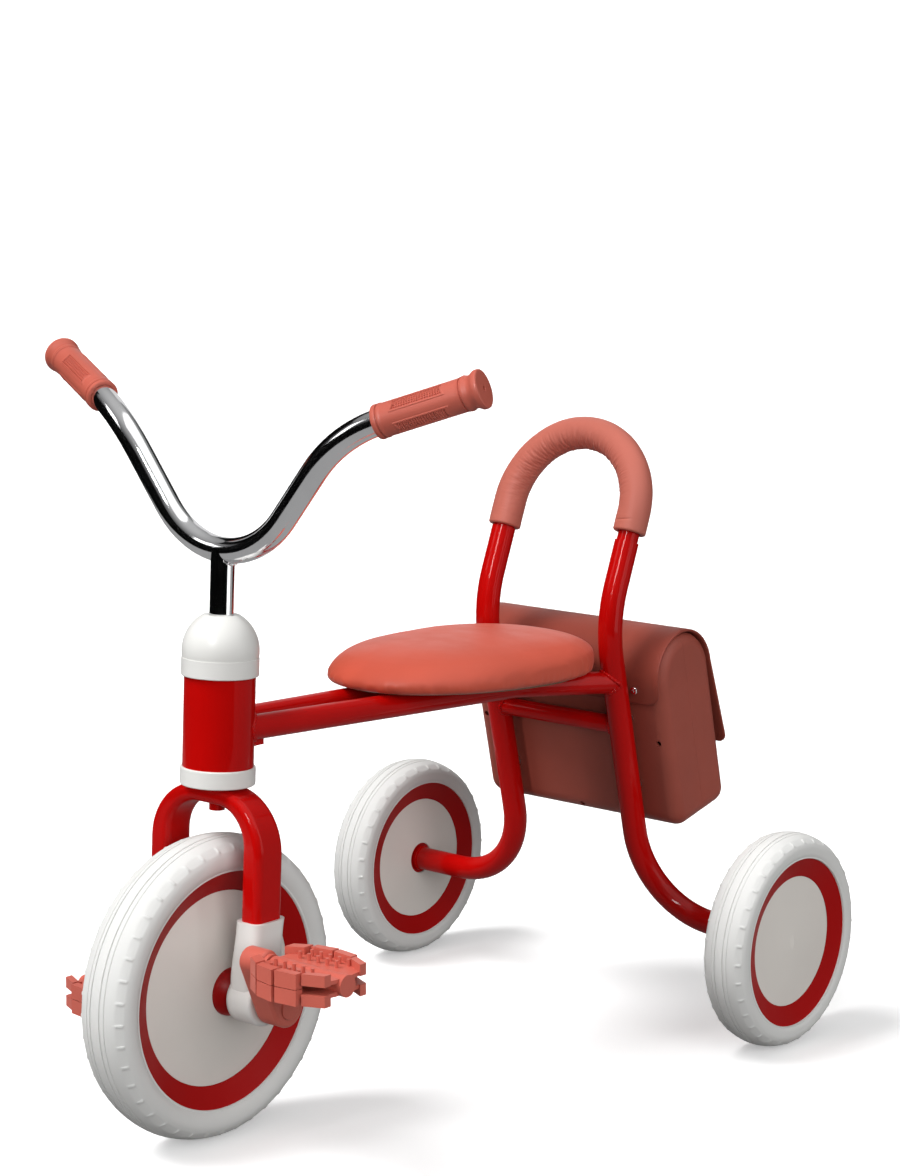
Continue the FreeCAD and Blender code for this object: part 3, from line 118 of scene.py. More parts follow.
def bump(tree, shader, tex, strength, distance, previous=None):
    """Relief from a texture, on top of a previous relief where one is given."""
    node = tree.nodes.new("ShaderNodeBump")
    node.inputs["Strength"].default_value = strength
    node.inputs["Distance"].default_value = distance
    tree.links.new(tex.outputs[0], node.inputs["Height"])
    if previous is not None:
        tree.links.new(previous.outputs["Normal"], node.inputs["Normal"])
    tree.links.new(node.outputs["Normal"], shader.inputs["Normal"])
    return node


def scaled(color, factor):
    """A colour made darker or lighter."""
    return tuple(min(1.0, c * factor) for c in color)


def plain_plastic(name, color, rough, spread=0.06, grain=900.0, grain_strength=0.12,
                  coat=0.0, spec=0.5):
    """Moulded plastic or rubber: faint tone drift, roughness drift and a fine moulded grain."""
    mat, tree, shader = principled(name, color, rough, coat=coat, coat_rough=0.12, spec=spec)
    drift = noise_node(tree, 14.0, 3.0)
    vary_color(tree, shader, scaled(color, 1 - spread), scaled(color, 1 + spread), drift)
    vary_rough(tree, shader, rough * 0.88, rough * 1.12, noise_node(tree, 45.0, 4.0))
    bump(tree, shader, noise_node(tree, grain, 2.0), grain_strength, 0.0003)
    return mat


def red_paint():
    """Gloss powder coat: deep red under a clear top, with a faint orange peel."""
    color = (0.44, 0.002, 0.0015)
    mat, tree, shader = principled("red_paint", color, 0.34, coat=0.28, coat_rough=0.04,
                                   spec=0.03)
    vary_color(tree, shader, scaled(color, 0.93), scaled(color, 1.05), noise_node(tree, 9.0, 2.0))
    vary_rough(tree, shader, 0.30, 0.40, noise_node(tree, 60.0, 3.0))
    bump(tree, shader, noise_node(tree, 420.0, 1.0), 0.05, 0.0004)
    return mat


def chrome():
    """Polished plating, with the faint haze of a used bar."""
    color = (0.86, 0.86, 0.87)
    mat, tree, shader = principled("chrome", color, 0.05, metal=1.0)
    vary_color(tree, shader, scaled(color, 0.97), scaled(color, 1.04), noise_node(tree, 30.0, 3.0))
    vary_rough(tree, shader, 0.085, 0.125, noise_node(tree, 38.0, 5.0))
    return mat


def steel():
    """Plain zinc-coated steel of screws, axles and nuts."""
    color = (0.50, 0.50, 0.51)
    mat, tree, shader = principled("steel", color, 0.32, metal=1.0)
    vary_color(tree, shader, scaled(color, 0.85), scaled(color, 1.1), noise_node(tree, 120.0, 4.0))
    vary_rough(tree, shader, 0.25, 0.42, noise_node(tree, 300.0, 3.0))
    return mat


def leather(name, color, rough, grain, strength, spread=0.05):
    """Artificial leather: cell-like grain over a soft drift, with a slight sheen."""
    mat, tree, shader = principled(name, color, rough, spec=0.36, sheen=0.05)
    shader.inputs["Sheen Roughness"].default_value = 0.5
    drift = noise_node(tree, 11.0, 3.0)
    vary_color(tree, shader, scaled(color, 1 - spread), scaled(color, 1 + spread), drift)
    vary_rough(tree, shader, rough * 0.9, rough * 1.1, noise_node(tree, 50.0, 3.0))
    coords = tree.nodes.new("ShaderNodeTexCoord")
    cells = tree.nodes.new("ShaderNodeTexVoronoi")
    cells.feature = "DISTANCE_TO_EDGE"
    cells.inputs["Scale"].default_value = grain
    tree.links.new(coords.outputs["Object"], cells.inputs["Vector"])
    first = bump(tree, shader, cells, strength, 0.0003)
    bump(tree, shader, noise_node(tree, grain * 0.35, 4.0), strength * 0.6, 0.0005, first)
    return mat


def shade_darkened_wood():
    """Board with its grain along the seat; its dark base tone is painted shade, standing in for
    the shade under the cushion.
    """
    # painted shade: the base tone is darker than bare wood so that the board's edge reads as the
    # shade under the cushion
    color = (0.16, 0.085, 0.045)
    mat, tree, shader = principled("board_wood", color, 0.6)
    grain = noise_node(tree, 40.0, 4.0, stretch=(1.0, 0.08, 1.0))
    vary_color(tree, shader, scaled(color, 0.7), scaled(color, 1.15), grain)
    bump(tree, shader, grain, 0.15, 0.0005)
    return mat


SALMON = (0.54, 0.112, 0.078)
LOOKS = {
    "red_paint": red_paint(),
    "chrome": chrome(),
    "steel": steel(),
    "white_plastic": plain_plastic("white_plastic", (0.72, 0.715, 0.69), 0.34, spread=0.02,
                                   grain=500.0, grain_strength=0.05, coat=0.12, spec=0.35),
    "red_plastic": plain_plastic("red_plastic", (0.33, 0.002, 0.002), 0.42, spread=0.04,
                                 grain=700.0, grain_strength=0.05, spec=0.12),
    "disc_plastic": plain_plastic("disc_plastic", (0.70, 0.665, 0.62), 0.48, spread=0.02,
                                  grain=1100.0, grain_strength=0.16),
    "salmon_plastic": plain_plastic("salmon_plastic", SALMON, 0.42, spread=0.05,
                                    grain=800.0, grain_strength=0.10),
    "trunk_plastic": plain_plastic("trunk_plastic", (0.30, 0.066, 0.045), 0.46, spread=0.05,
                                   grain=1000.0, grain_strength=0.14, spec=0.3),
    "foam_tyre": plain_plastic("foam_tyre", (0.66, 0.66, 0.645), 0.62, spread=0.012,
                               grain=1300.0, grain_strength=0.08, spec=0.3),
    "seat_cover": leather("seat_cover", (0.52, 0.078, 0.042), 0.46, grain=900.0, strength=0.10),
    "foam_cover": leather("foam_cover", (0.46, 0.122, 0.086), 0.52, grain=700.0, strength=0.26),
    "grip_rubber": plain_plastic("grip_rubber", (0.48, 0.100, 0.066), 0.46, spread=0.04,
                                 grain=900.0, grain_strength=0.10),
    "board_wood": shade_darkened_wood(),
    "nylon": plain_plastic("nylon", (0.62, 0.62, 0.60), 0.5),
}
FLAP_LOOK = plain_plastic("flap_plastic", (0.24, 0.048, 0.032), 0.46, spread=0.04,
                          grain=900.0, grain_strength=0.12, spec=0.2)

slot_of = {row["node"]: row["material_slot"] for row in frame["record"]["subparts"]}


def dress(obj, mat):
    """Give a mesh one material and no other."""
    obj.data.materials.clear()
    obj.data.materials.append(mat)
    for poly in obj.data.polygons:
        poly.material_index = 0


for node, obj in frame["nodes"].items():
    dress(obj, LOOKS[slot_of[node]])
dress(frame["nodes"]["pedal_spindles"], LOOKS["salmon_plastic"])


# ------------------------------------------------------------------ mesh helpers

SAME_POINT = 2e-6       # points nearer to each other than this become one, in metres


def link(obj):
    """Put a new object in the scene."""
    bpy.context.scene.collection.objects.link(obj)
    return obj


def make(name, grid, look, body, replaced=(), loop_rows=True, sharp=38.0):
    """A closed mesh over a grid of points (rows x columns x 3), closed round its columns.

    The last row joins the first one with loop_rows; without it, rows at both ends shrink to
    a point. Edges sharper than the given angle stay hard. Without a body the piece rides none."""
    rows, cols = grid.shape[:2]
    faces = []
    for i in range(rows if loop_rows else rows - 1):
        up_row = (i + 1) % rows
        for j in range(cols):
            right_col = (j + 1) % cols
            faces.append((i * cols + j, i * cols + right_col,
                          up_row * cols + right_col, up_row * cols + j))
    mesh = bpy.data.meshes.new(name)
    mesh.from_pydata(grid.reshape(-1, 3).tolist(), [], faces)
    obj = link(bpy.data.objects.new(name, mesh))
    bm = bmesh.new()
    bm.from_mesh(mesh)
    bmesh.ops.remove_doubles(bm, verts=bm.verts, dist=SAME_POINT)
    bmesh.ops.recalc_face_normals(bm, faces=bm.faces)
    bm.to_mesh(mesh)
    bm.free()
    mesh.shade_smooth()
    mesh.set_sharp_from_angle(angle=math.radians(sharp))
    dress(obj, look)
    if body is not None:
        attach(obj, body)
    if replaced:
        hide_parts(*replaced)
    return obj


def frame_of(centre, axis):
    """Origin, two cross directions and the axis, as numpy vectors."""
    w = np.array(axis, float)
    w /= np.linalg.norm(w)
    u = np.cross(np.array((0.0, 0.0, 1.0)), w)
    u /= np.linalg.norm(u)
    v = np.cross(w, u)
    return np.array(centre, float), u, v, w


def lathe_grid(profile, angles, place, shift=None):
    """Points of a turned profile of (radius, height) in mm, a row for each profile point.

    shift(row, column, radius, height) gives the radius and height to use there instead."""
    origin, u, v, w = place
    grid = np.zeros((len(profile), len(angles), 3))
    for i, (radius, height) in enumerate(profile):
        for j, angle in enumerate(angles):
            r, h = (radius, height) if shift is None else shift(i, j, radius, height)
            grid[i, j] = origin + MM * (r * (math.cos(angle) * u + math.sin(angle) * v) + h * w)
    return grid


def round_steps(count):
    """Evenly spaced angles round a full turn."""
    return [2 * math.pi * k / count for k in range(count)]


# ------------------------------------------------------------------ tyres

# Height above the ring (0 to 1), place across the tyre (0 to 1) and how much a tooth lifts it.
TYRE_SIDE = [
    (0.000, 0.800, 0), (0.014, 0.824, 0), (0.036, 0.832, 0), (0.058, 0.828, 0),
    (0.085, 0.846, 0), (0.130, 0.884, 0), (0.190, 0.922, 0), (0.260, 0.953, 0),
    (0.340, 0.973, 0), (0.430, 0.978, 0), (0.500, 0.966, 0), (0.560, 0.944, 0),
    (0.620, 0.912, 0), (0.662, 0.886, 0), (0.680, 0.873, 1), (0.725, 0.834, 1),
    (0.770, 0.786, 1), (0.812, 0.728, 1), (0.830, 0.700, 0), (0.865, 0.622, 0),
    (0.900, 0.532, 0), (0.930, 0.445, 0), (0.9475, 0.378, 0), (0.9300, 0.366, 0),
    (0.9300, 0.346, 0), (0.9560, 0.334, 0), (0.9750, 0.245, 0), (0.9800, 0.214, 0),
    (0.9500, 0.202, 0), (0.9500, 0.176, 0), (0.9860, 0.164, 0), (0.9960, 0.085, 0),
    (1.0000, 0.000, 0),
]
# Place within one tooth's pitch (0 to 1) and lift there: 1 on the tooth, -1 in the gap.
TOOTH_STEPS = [(0.00, 0.0), (0.025, 1.0), (0.115, 1.0), (0.14, 0.0), (0.24, -0.55),
               (0.40, -1.0), (0.62, -1.0), (0.84, -0.75), (0.96, -0.25)]
TOOTH_RISE, TOOTH_DROP = 0.50, 0.22     # mm above and below the plain tyre
TOOTH_SLANT = 0.62                      # share of it that goes outwards, and as much sideways
LIP_OVER_RING = 1.4                     # mm the tyre stands wider than the wheel's ring
LIP_REACH = 0.32                        # height, 0 to 1, over which that fades out


def tyre(name, node, ring, ring_half, teeth, body):
    """A moulded tyre with two grooves and notched shoulders, on a ring of a given radius."""
    low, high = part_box(node)
    centre = (low + high) / 2
    half = (high.x - low.x) / 2 / MM
    crest = (high.z - low.z) / 2 / MM
    lip = (ring_half + LIP_OVER_RING) / half
    points = []
    for s, f, lift in TYRE_SIDE:
        pull = max(0.0, 1.0 - s / LIP_REACH)
        points.append((ring + s * (crest - ring),
                       half * (f + (lip - TYRE_SIDE[0][1]) * pull), lift))
    profile = points + [(r, -x, lift) for r, x, lift in reversed(points[:-1])]
    angles, lifts = [], []
    for k in range(teeth):
        for step, lift in TOOTH_STEPS:
            angles.append(2 * math.pi * (k + step) / teeth)
            lifts.append(lift)

    def shift(i, j, radius, across):
        lift = lifts[j]
        if not (profile[i][2] and lift):
            return radius, across
        amount = TOOTH_SLANT * ((TOOTH_RISE if lift > 0 else TOOTH_DROP) * lift)
        return radius + amount, across + amount * (1 if across > 0 else -1)

    place = (np.array(centre), np.array((0.0, 1.0, 0.0)), np.array((0.0, 0.0, 1.0)),
             np.array((1.0, 0.0, 0.0)))
    grid = lathe_grid([(r, x) for r, x, _ in profile], angles, place, shift)
    return make(name, grid, LOOKS["foam_tyre"], body, [node], sharp=42.0)


tyre("front_tyre_moulding", "front_tyre", 97.5, 20.2, 42, "front_wheel")
for tag in ("left", "right"):
    tyre("rear_tyre_moulding_" + tag, "rear_tyre_" + tag, 76.0, 18.6, 34, "rear_wheel_" + tag)

# ------------------------------------------------------------------ grips

GRIP_END = (232.9, -176.8, 619.4)       # centre of the grip's end face
BAR_CORNER = (121.0, -215.2, 579.3)     # a point further in on the grip's axis
# Radius and height from the end face: the bore with the inner flange, then the outer flange.
GRIP_PROFILE = [
    (0.0, -5.0), (10.55, -5.0), (10.55, -90.6), (11.2, -91.0), (12.6, -91.0), (13.4, -90.5),
    (13.8, -89.6), (13.8, -87.4), (13.5, -86.7), (12.7, -86.4), (12.6, -86.0), (13.4, -85.7),
    (13.75, -85.0), (13.75, -84.2), (13.5, -83.4), (13.2, -82.6)]
GRIP_OUTER = [
    (13.2, -19.0), (13.3, -17.0), (13.5, -16.2), (12.6, -15.9), (12.6, -15.4), (13.4, -15.1),
    (13.9, -14.2), (13.9, -12.8), (13.5, -11.6), (13.0, -10.6), (12.9, -9.6), (13.1, -8.2),
    (13.7, -6.8), (14.6, -5.4), (15.2, -4.4), (15.4, -3.2), (15.4, -1.5), (15.1, -0.6),
    (14.4, -0.1), (13.4, 0.0), (2.4, 0.0), (2.0, -0.4), (1.9, -4.3), (0.0, -4.3)]
GRIP_COLS = 160
GRIP_BODY = 13.2                                        # radius between the flanges
KNURL_START, KNURL_STEP, KNURL_ROWS = -82.6, 0.55, 114  # rows along the body
KNURL_LENGTH = 63.0
KNURL_DEPTH, KNURL_RISE, BORDER_RISE = 0.70, 0.35, 0.45
PANELS = 4                                              # round the grip
# Shares of the body's length and of a panel's half width.
PANEL_MARGIN, PANEL_SLANT, PANEL_HALF = 0.12, 0.07, 0.44
BORDER_END, BORDER_HALF = 0.028, 0.56


def grip(side):
    """A rubber grip with two flanges, a hole in its end and knurled panels round its body."""
    end = np.array(GRIP_END) * (side, 1, 1)
    corner = np.array(BAR_CORNER) * (side, 1, 1)
    place = frame_of(end * MM, end - corner)
    body = [(GRIP_BODY, KNURL_START + KNURL_STEP * k) for k in range(1, KNURL_ROWS + 1)]
    profile = GRIP_PROFILE + body + GRIP_OUTER
    first, last = len(GRIP_PROFILE), len(GRIP_PROFILE) + len(body)
    angles = round_steps(GRIP_COLS)

    def shift(i, j, radius, height):
        """Knurled panels: rows of square points inside slanted borders."""
        if not first <= i < last:
            return radius, height
        along = (height - KNURL_START) / KNURL_LENGTH
        turn = (angles[j] / (2 * math.pi) * PANELS) % 1.0
        around = abs(turn - 0.5) * 2.0
        slant = PANEL_SLANT * (1.0 - around)
        inside = min(along - PANEL_MARGIN - slant, 1 - PANEL_MARGIN - slant - along)
        if inside < 0 or around > PANEL_HALF:
            border = around < BORDER_HALF and inside > -BORDER_END
            return radius + (BORDER_RISE if border else 0.0), height
        if j % 4 in (0, 3) or (i - first) % 4 in (0, 3):
            return radius - KNURL_DEPTH, height
        return radius + KNURL_RISE, height

    grid = lathe_grid(profile, angles, place, shift)
    tag = "left" if side > 0 else "right"
    return make("grip_moulding_" + tag, grid, LOOKS["grip_rubber"], "steering",
                ["grip_" + tag], loop_rows=False, sharp=30.0)


for side in (1, -1):
    grip(side)

# ------------------------------------------------------------------ seat cushion

SEAT_SLOPE = math.atan(0.0366)          # of the rails and the seat on them
SEAT_CROWN, SEAT_RADIUS = 38.2, 91.5    # height over the board and half width
SEAT_FRONT, SEAT_BACK = 161.0, 126.0    # reach from the widest place
SEAT_POWER = 2.3                        # 2 is an ellipse and more is squarer
SEAM_HEIGHT, SEAM_CLIMB = 16.5, 7.0     # at the sides, and more towards the back
SEAT_COLS = 128
SEAT_SHRINK = 2.2                       # room for the cloth to swell into
SEAT_VOXEL = 0.0042
SWELL_SMOOTHING = 8                     # rounds of averaging over neighbours
SEAT_RISE = 3.3                         # from the CAD cushion's lowest point to the board
SEAT_FOOT = [(0.0, 0.6), (40.0, 0.6), (66.0, 0.6), (82.0, 0.6), (87.6, 0.9), (90.2, 2.2),
             (91.3, 5.0)]


def seat_side(angle):
    """Half profile of the pad: foot, upright wall up to a seam, then the crown over the top.

    The seam lies low at the front and climbs along the sides to the back."""
    seam = SEAM_HEIGHT + SEAM_CLIMB * math.sin(angle)
    wall_foot = SEAT_FOOT[-1][1]
    points = list(SEAT_FOOT)
    for k in range(1, 5):
        points.append((SEAT_RADIUS, wall_foot + (seam - wall_foot) * k / 4))
    first = math.radians(27.0)
    fullness = 0.43 + 0.09 * math.sin(angle)
    for k in range(1, 19):
        phi = first + (math.pi / 2 - first) * k / 18
        points.append((SEAT_RADIUS * (math.cos(phi) / math.cos(first)) ** fullness,
                       seam + (SEAT_CROWN - seam) * (math.sin(phi) - math.sin(first))
                       / (1 - math.sin(first))))
    return points


def seat_place():
    """The seat's own frame: its widest point on the board's underside, tilted with the rails."""
    low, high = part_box("seat_cushion")
    widest = low.y + (high.y - low.y) * SEAT_FRONT / (SEAT_FRONT + SEAT_BACK)
    rise = low.z + SEAT_RISE * MM
    return Matrix.Translation((0, widest, rise)) @ Matrix.Rotation(-SEAT_SLOPE, 4, "X")


def seat_ring(radius, angle):
    """A point of the seat's outline, longer to the front than to the back."""
    c, s = math.cos(angle), math.sin(angle)
    x = radius * math.copysign(abs(c) ** (2 / SEAT_POWER), c)
    reach = SEAT_BACK if s > 0 else SEAT_FRONT
    y = radius * reach / SEAT_RADIUS * math.copysign(abs(s) ** (2 / SEAT_POWER), s)
    return x, y


def seat_cushion():
    """The pad: made a little small, blown up as cloth, smoothed, and tucked at its foot."""
    foot = SEAT_FOOT[0][1]
    grid = np.zeros((len(seat_side(0.0)), SEAT_COLS, 3))
    for j, angle in enumerate(round_steps(SEAT_COLS)):
        for i, (radius, height) in enumerate(seat_side(angle)):
            r = max(0.0, radius - SEAT_SHRINK * min(1.0, radius / 60.0))
            h = foot + (height - foot) * (SEAT_CROWN - SEAT_SHRINK) / SEAT_CROWN
            x, y = seat_ring(r, angle)
            grid[i, j] = (x * MM, y * MM, h * MM)
    obj = make("seat_pad", grid, LOOKS["seat_cover"], None, ["seat_cushion"],
               loop_rows=False, sharp=180.0)
    remesh = obj.modifiers.new("remesh", "REMESH")
    remesh.mode = "VOXEL"
    remesh.voxel_size = SEAT_VOXEL
    apply_modifier(obj, remesh)
    puff(obj, pinned=lambda co: co.z < 2.4 * MM, pressure=4.0, cap=3.2 * MM, frames=20)
    smooth = obj.modifiers.new("smooth", "SMOOTH")
    smooth.factor = 0.5
    smooth.iterations = 2
    apply_modifier(obj, smooth)
    subdivide = obj.modifiers.new("subdivide", "SUBSURF")
    subdivide.levels = 1
    subdivide.render_levels = 1
    apply_modifier(obj, subdivide)
    for vert in obj.data.vertices:
        seat_folds(vert)
    obj.data.transform(seat_place())
    obj.data.shade_smooth()
    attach(obj, "frame")


def seat_folds(vert):
    """Small tucks above the lower edge, where the cover is pulled under the board."""
    co = vert.co
    across = co.x / SEAT_RADIUS
    along = co.y / (SEAT_BACK if co.y > 0 else SEAT_FRONT)
    reach = math.hypot(across, along) / MM
    if reach < 0.8:
        return
    angle = math.atan2(along, across)
    low = max(0.0, 1.0 - abs(co.z / MM - 4.5) / 9.0) * min(1.0, (reach - 0.8) / 0.12)
    tucks = noise.noise(Vector((math.cos(angle) * 13, math.sin(angle) * 13, 1.7)))
    tucks += 0.6 * noise.noise(Vector((math.cos(angle) * 34, math.sin(angle) * 34, 6.1)))
    wide = noise.noise(Vector((co.x * 18, co.y * 18, co.z * 30)))
    out = Vector((math.cos(angle), math.sin(angle), 0))
    vert.co = co + out * (MM * (1.0 * low * tucks + 0.2 * wide))


def apply_modifier(obj, modifier):
    """Bake one modifier into the mesh."""
    depsgraph = bpy.context.evaluated_depsgraph_get()
    baked = bpy.data.meshes.new_from_object(obj.evaluated_get(depsgraph))
    obj.modifiers.remove(modifier)
    old = obj.data
    obj.data = baked
    bpy.data.meshes.remove(old)


def puff(obj, pinned, pressure, cap, frames):
    """Cloth simulation from inside pressure.

    Each vertex moves by the simulation's result, capped in length and smoothed over the mesh."""
    start = np.array([tuple(vert.co) for vert in obj.data.vertices])
    pins = obj.vertex_groups.new(name="pins")
    pins.add([vert.index for vert in obj.data.vertices if pinned(vert.co)], 1.0, "REPLACE")
    cloth = obj.modifiers.new("cloth", "CLOTH")
    settings = cloth.settings
    settings.quality = 6
    settings.mass = 0.3
    settings.tension_stiffness = 20
    settings.compression_stiffness = 20
    settings.shear_stiffness = 10
    settings.bending_stiffness = 2.0
    settings.use_pressure = True
    settings.uniform_pressure_force = pressure
    settings.vertex_group_mass = "pins"
    settings.effector_weights.gravity = 0.0
    cloth.point_cache.frame_start = 1
    cloth.point_cache.frame_end = frames
    for number in range(1, frames + 1):
        bpy.context.scene.frame_set(number)
    apply_modifier(obj, cloth)
    moves = np.array([tuple(vert.co) for vert in obj.data.vertices]) - start
    length = np.linalg.norm(moves, axis=1)
    moves *= np.minimum(1.0, cap / np.maximum(length, 1e-9))[:, None]
    ends = np.array([tuple(edge.vertices) for edge in obj.data.edges])
    for _ in range(SWELL_SMOOTHING):
        total, count = moves.copy(), np.ones((len(moves), 1))
        for a, b in ((0, 1), (1, 0)):
            np.add.at(total, ends[:, a], moves[ends[:, b]])
            np.add.at(count, ends[:, a], 1.0)
        moves = total / count
    for vert, point in zip(obj.data.vertices, start + moves):
        vert.co = point
    obj.vertex_groups.clear()
    bpy.context.scene.frame_set(1)


seat_cushion()

# ------------------------------------------------------------------ backrest sleeve

HOOP_LEAN = math.atan(0.388)
HOOP_RADIUS = 71.2
HOOP_TOP, SLEEVE_FOOT = 536.8, 454.0    # heights over the floor
HOOP_BASE = np.array((0.0, 197.5, 374.7))
HOOP_UP = np.array((0.0, math.sin(HOOP_LEAN), math.cos(HOOP_LEAN)))
HOOP_BACK = np.array((0.0, math.cos(HOOP_LEAN), -math.sin(HOOP_LEAN)))
HOOP_SPRING = (HOOP_TOP - HOOP_BASE[2]) / math.cos(HOOP_LEAN) - HOOP_RADIUS
SLEEVE_START = (SLEEVE_FOOT - HOOP_BASE[2]) / math.cos(HOOP_LEAN)
SLEEVE_EXTRA = 7.0      # the sleeve reaches further down the leg on the right
SLEEVE_RADIUS, LINING_RADIUS = 15.0, 10.25
SLEEVE_ROWS, SLEEVE_COLS, LINING_ROWS = 420, 96, 60
SLEEVE_LIP = [(0.7, 10.4), (0.0, 11.0), (-0.2, 12.4), (0.0, 13.8), (0.5, 14.6)]
END_FADE = 9.0          # the creases die out over this length at both ends
SLIT_PLACE, SLIT_SLANT, SLIT_WIDTH, SLIT_DEPTH = 14.0, 5.5, 0.7, 0.75


def hoop_point(s):
    """Centre, outward direction and share of the bend at a length s from the left end."""
    straight = HOOP_SPRING - SLEEVE_START
    arc = math.pi * HOOP_RADIUS
    if s < straight:
        return (HOOP_BASE + HOOP_UP * (SLEEVE_START + s) + np.array((HOOP_RADIUS, 0, 0)),
                np.array((1.0, 0, 0)), 0.0)
    if s > straight + arc:
        rest = s - straight - arc
        return (HOOP_BASE + HOOP_UP * (HOOP_SPRING - rest) - np.array((HOOP_RADIUS, 0, 0)),
                np.array((-1.0, 0, 0)), 0.0)
    angle = (s - straight) / HOOP_RADIUS
    out = np.array((math.cos(angle), 0, 0)) + HOOP_UP * math.sin(angle)
    return HOOP_BASE + HOOP_UP * HOOP_SPRING + HOOP_RADIUS * out, out, math.sin(angle)


def cover_radius(radius, s, angle, bent, total):
    """The cover's radius with its creases, and with a slanted slit near the left end."""
    inner = max(0.0, -math.cos(angle - 0.35))
    fade = min(1.0, (s + 0.2) / END_FADE, (total + 0.2 - s) / END_FADE)
    squeeze = inner ** 1.3 * (0.25 + bent) * max(0.0, fade)
    twist = 2.2 * math.sin(angle)
    fine = noise.noise(Vector((s * 0.42 + twist, math.sin(angle) * 1.6, 3.1)))
    fine += 0.7 * noise.noise(Vector((s * 0.85 - twist, math.sin(angle) * 2.6, 8.4)))
    broad = noise.noise(Vector((s * 0.045, math.cos(angle), math.sin(angle))))
    radius += 0.75 * squeeze * (fine - 0.25) + 0.22 * broad
    slit = math.exp(-((s - SLIT_PLACE - SLIT_SLANT * math.sin(angle + 0.4)) / SLIT_WIDTH) ** 2)
    front = max(0.0, math.cos(angle + math.pi / 2 + 0.1) - 0.72) / 0.28
    return radius - SLIT_DEPTH * slit * front


def sleeve():
    """Foam sleeve with open ends; its cover wrinkles where the bend squeezes it."""
    total = 2 * (HOOP_SPRING - SLEEVE_START) + math.pi * HOOP_RADIUS + SLEEVE_EXTRA
    stations = [total * k / (SLEEVE_ROWS - 1) for k in range(SLEEVE_ROWS)]
    outer = [(s, SLEEVE_RADIUS) for s in stations if 1.2 < s < total - 1.2]
    lining = [(total * k / LINING_ROWS, LINING_RADIUS) for k in range(LINING_ROWS - 1, 0, -1)]
    track = SLEEVE_LIP + outer + [(total - s, r) for s, r in reversed(SLEEVE_LIP)] + lining
    grid = np.zeros((len(track), SLEEVE_COLS, 3))
    for i, (s, radius) in enumerate(track):
        centre, out, bent = hoop_point(min(max(s, 0.0), total))
        if s < 0 or s > total:
            centre = centre + HOOP_UP * (s if s < 0 else total - s)
        for j, angle in enumerate(round_steps(SLEEVE_COLS)):
            r = cover_radius(radius, s, angle, bent, total) if radius > 14.0 else radius
            grid[i, j] = MM * (centre + r * (math.cos(angle) * out + math.sin(angle) * HOOP_BACK))
    obj = make("backrest_sleeve", grid, LOOKS["foam_cover"], "frame",
               ["backrest_foam"], sharp=60.0)


sleeve()

# ------------------------------------------------------------------ trunk flap

BAG_LEAN = math.atan(LEG_SLOPE)
BAG_BASE = np.array((0.0, 239.2, 262.0))
BAG_BACK = np.array((0.0, math.cos(BAG_LEAN), math.sin(BAG_LEAN)))
BAG_UP = np.array((0.0, -math.sin(BAG_LEAN), math.cos(BAG_LEAN)))
ARCH_MID, ARCH_RISE = 39.75, 53.0
FLAP_HALF, FLAP_THICK, FLAP_GAP = 110.0, 2.4, 0.45
TAB_LOW, TAIL_LOW, TAIL_FLARE = 38.0, -35.0, 9.6
TAB_CORNER, TAIL_CORNER = 14.0, 9.0     # radii of the rounded corners
FLAP_STEP = 1.4                         # spacing of the rows
FLAP_COLS = 36
FLAP_EDGE = (0.25, 0.5, 0.75)           # extra points round each side edge
FLAP_END = (0.0, 0.15, 0.5, 0.9)        # extra rows round each end
ARCH_STEPS = 60
WAVE_START, WAVE_END, WAVE_HEIGHT = 0.35, 0.98, 0.45    # a faint wave across the tail


def bag_point(x, back, up):
    """A point given in the trunk's own frame, in metres."""
    return MM * (BAG_BASE + np.array((x, 0, 0)) + back * BAG_BACK + up * BAG_UP)


def flap_line():
    """Middle line of the flap as (back, up, outward back, outward up), evenly spaced."""
    radius = ARCH_MID + FLAP_GAP + FLAP_THICK / 2
    corners = [(ARCH_MID - radius, TAB_LOW)]
    for k in range(ARCH_STEPS + 1):
        angle = math.pi * k / ARCH_STEPS
        corners.append((ARCH_MID - radius * math.cos(angle),
                        ARCH_RISE + radius * math.sin(angle)))
    corners.append((ARCH_MID + radius + TAIL_FLARE, TAIL_LOW))
    points = []
    for (y0, z0), (y1, z1) in zip(corners, corners[1:]):
        count = max(1, round(math.hypot(y1 - y0, z1 - z0) / FLAP_STEP))
        points += [(y0 + (y1 - y0) * k / count, z0 + (z1 - z0) * k / count)
                   for k in range(count)]
    points.append(corners[-1])
    line = []
    for i, (y, z) in enumerate(points):
        before, after = points[max(i - 1, 0)], points[min(i + 1, len(points) - 1)]
        run = math.hypot(after[0] - before[0], after[1] - before[1])
        line.append((y, z, -(after[1] - before[1]) / run, (after[0] - before[0]) / run))
    return line


def flap_ring(half, thick, wave):
    """Cross-section of the flap as (x, height over its middle), with round side edges."""
    half_thick = FLAP_THICK / 2
    flat = half - half_thick
    ring = []
    for sign in (1, -1):
        for k in range(FLAP_COLS + 1):
            x = sign * flat * (1 - 2 * k / FLAP_COLS)
            lift = wave * math.cos(x / FLAP_HALF * math.pi * 1.5)
            ring.append((x, sign * thick + max(lift, 0.0)))
        for turn in FLAP_EDGE:
            ring.append((-sign * (flat + half_thick * math.sin(math.pi * turn)),
                         sign * thick * math.cos(math.pi * turn)))
    return ring


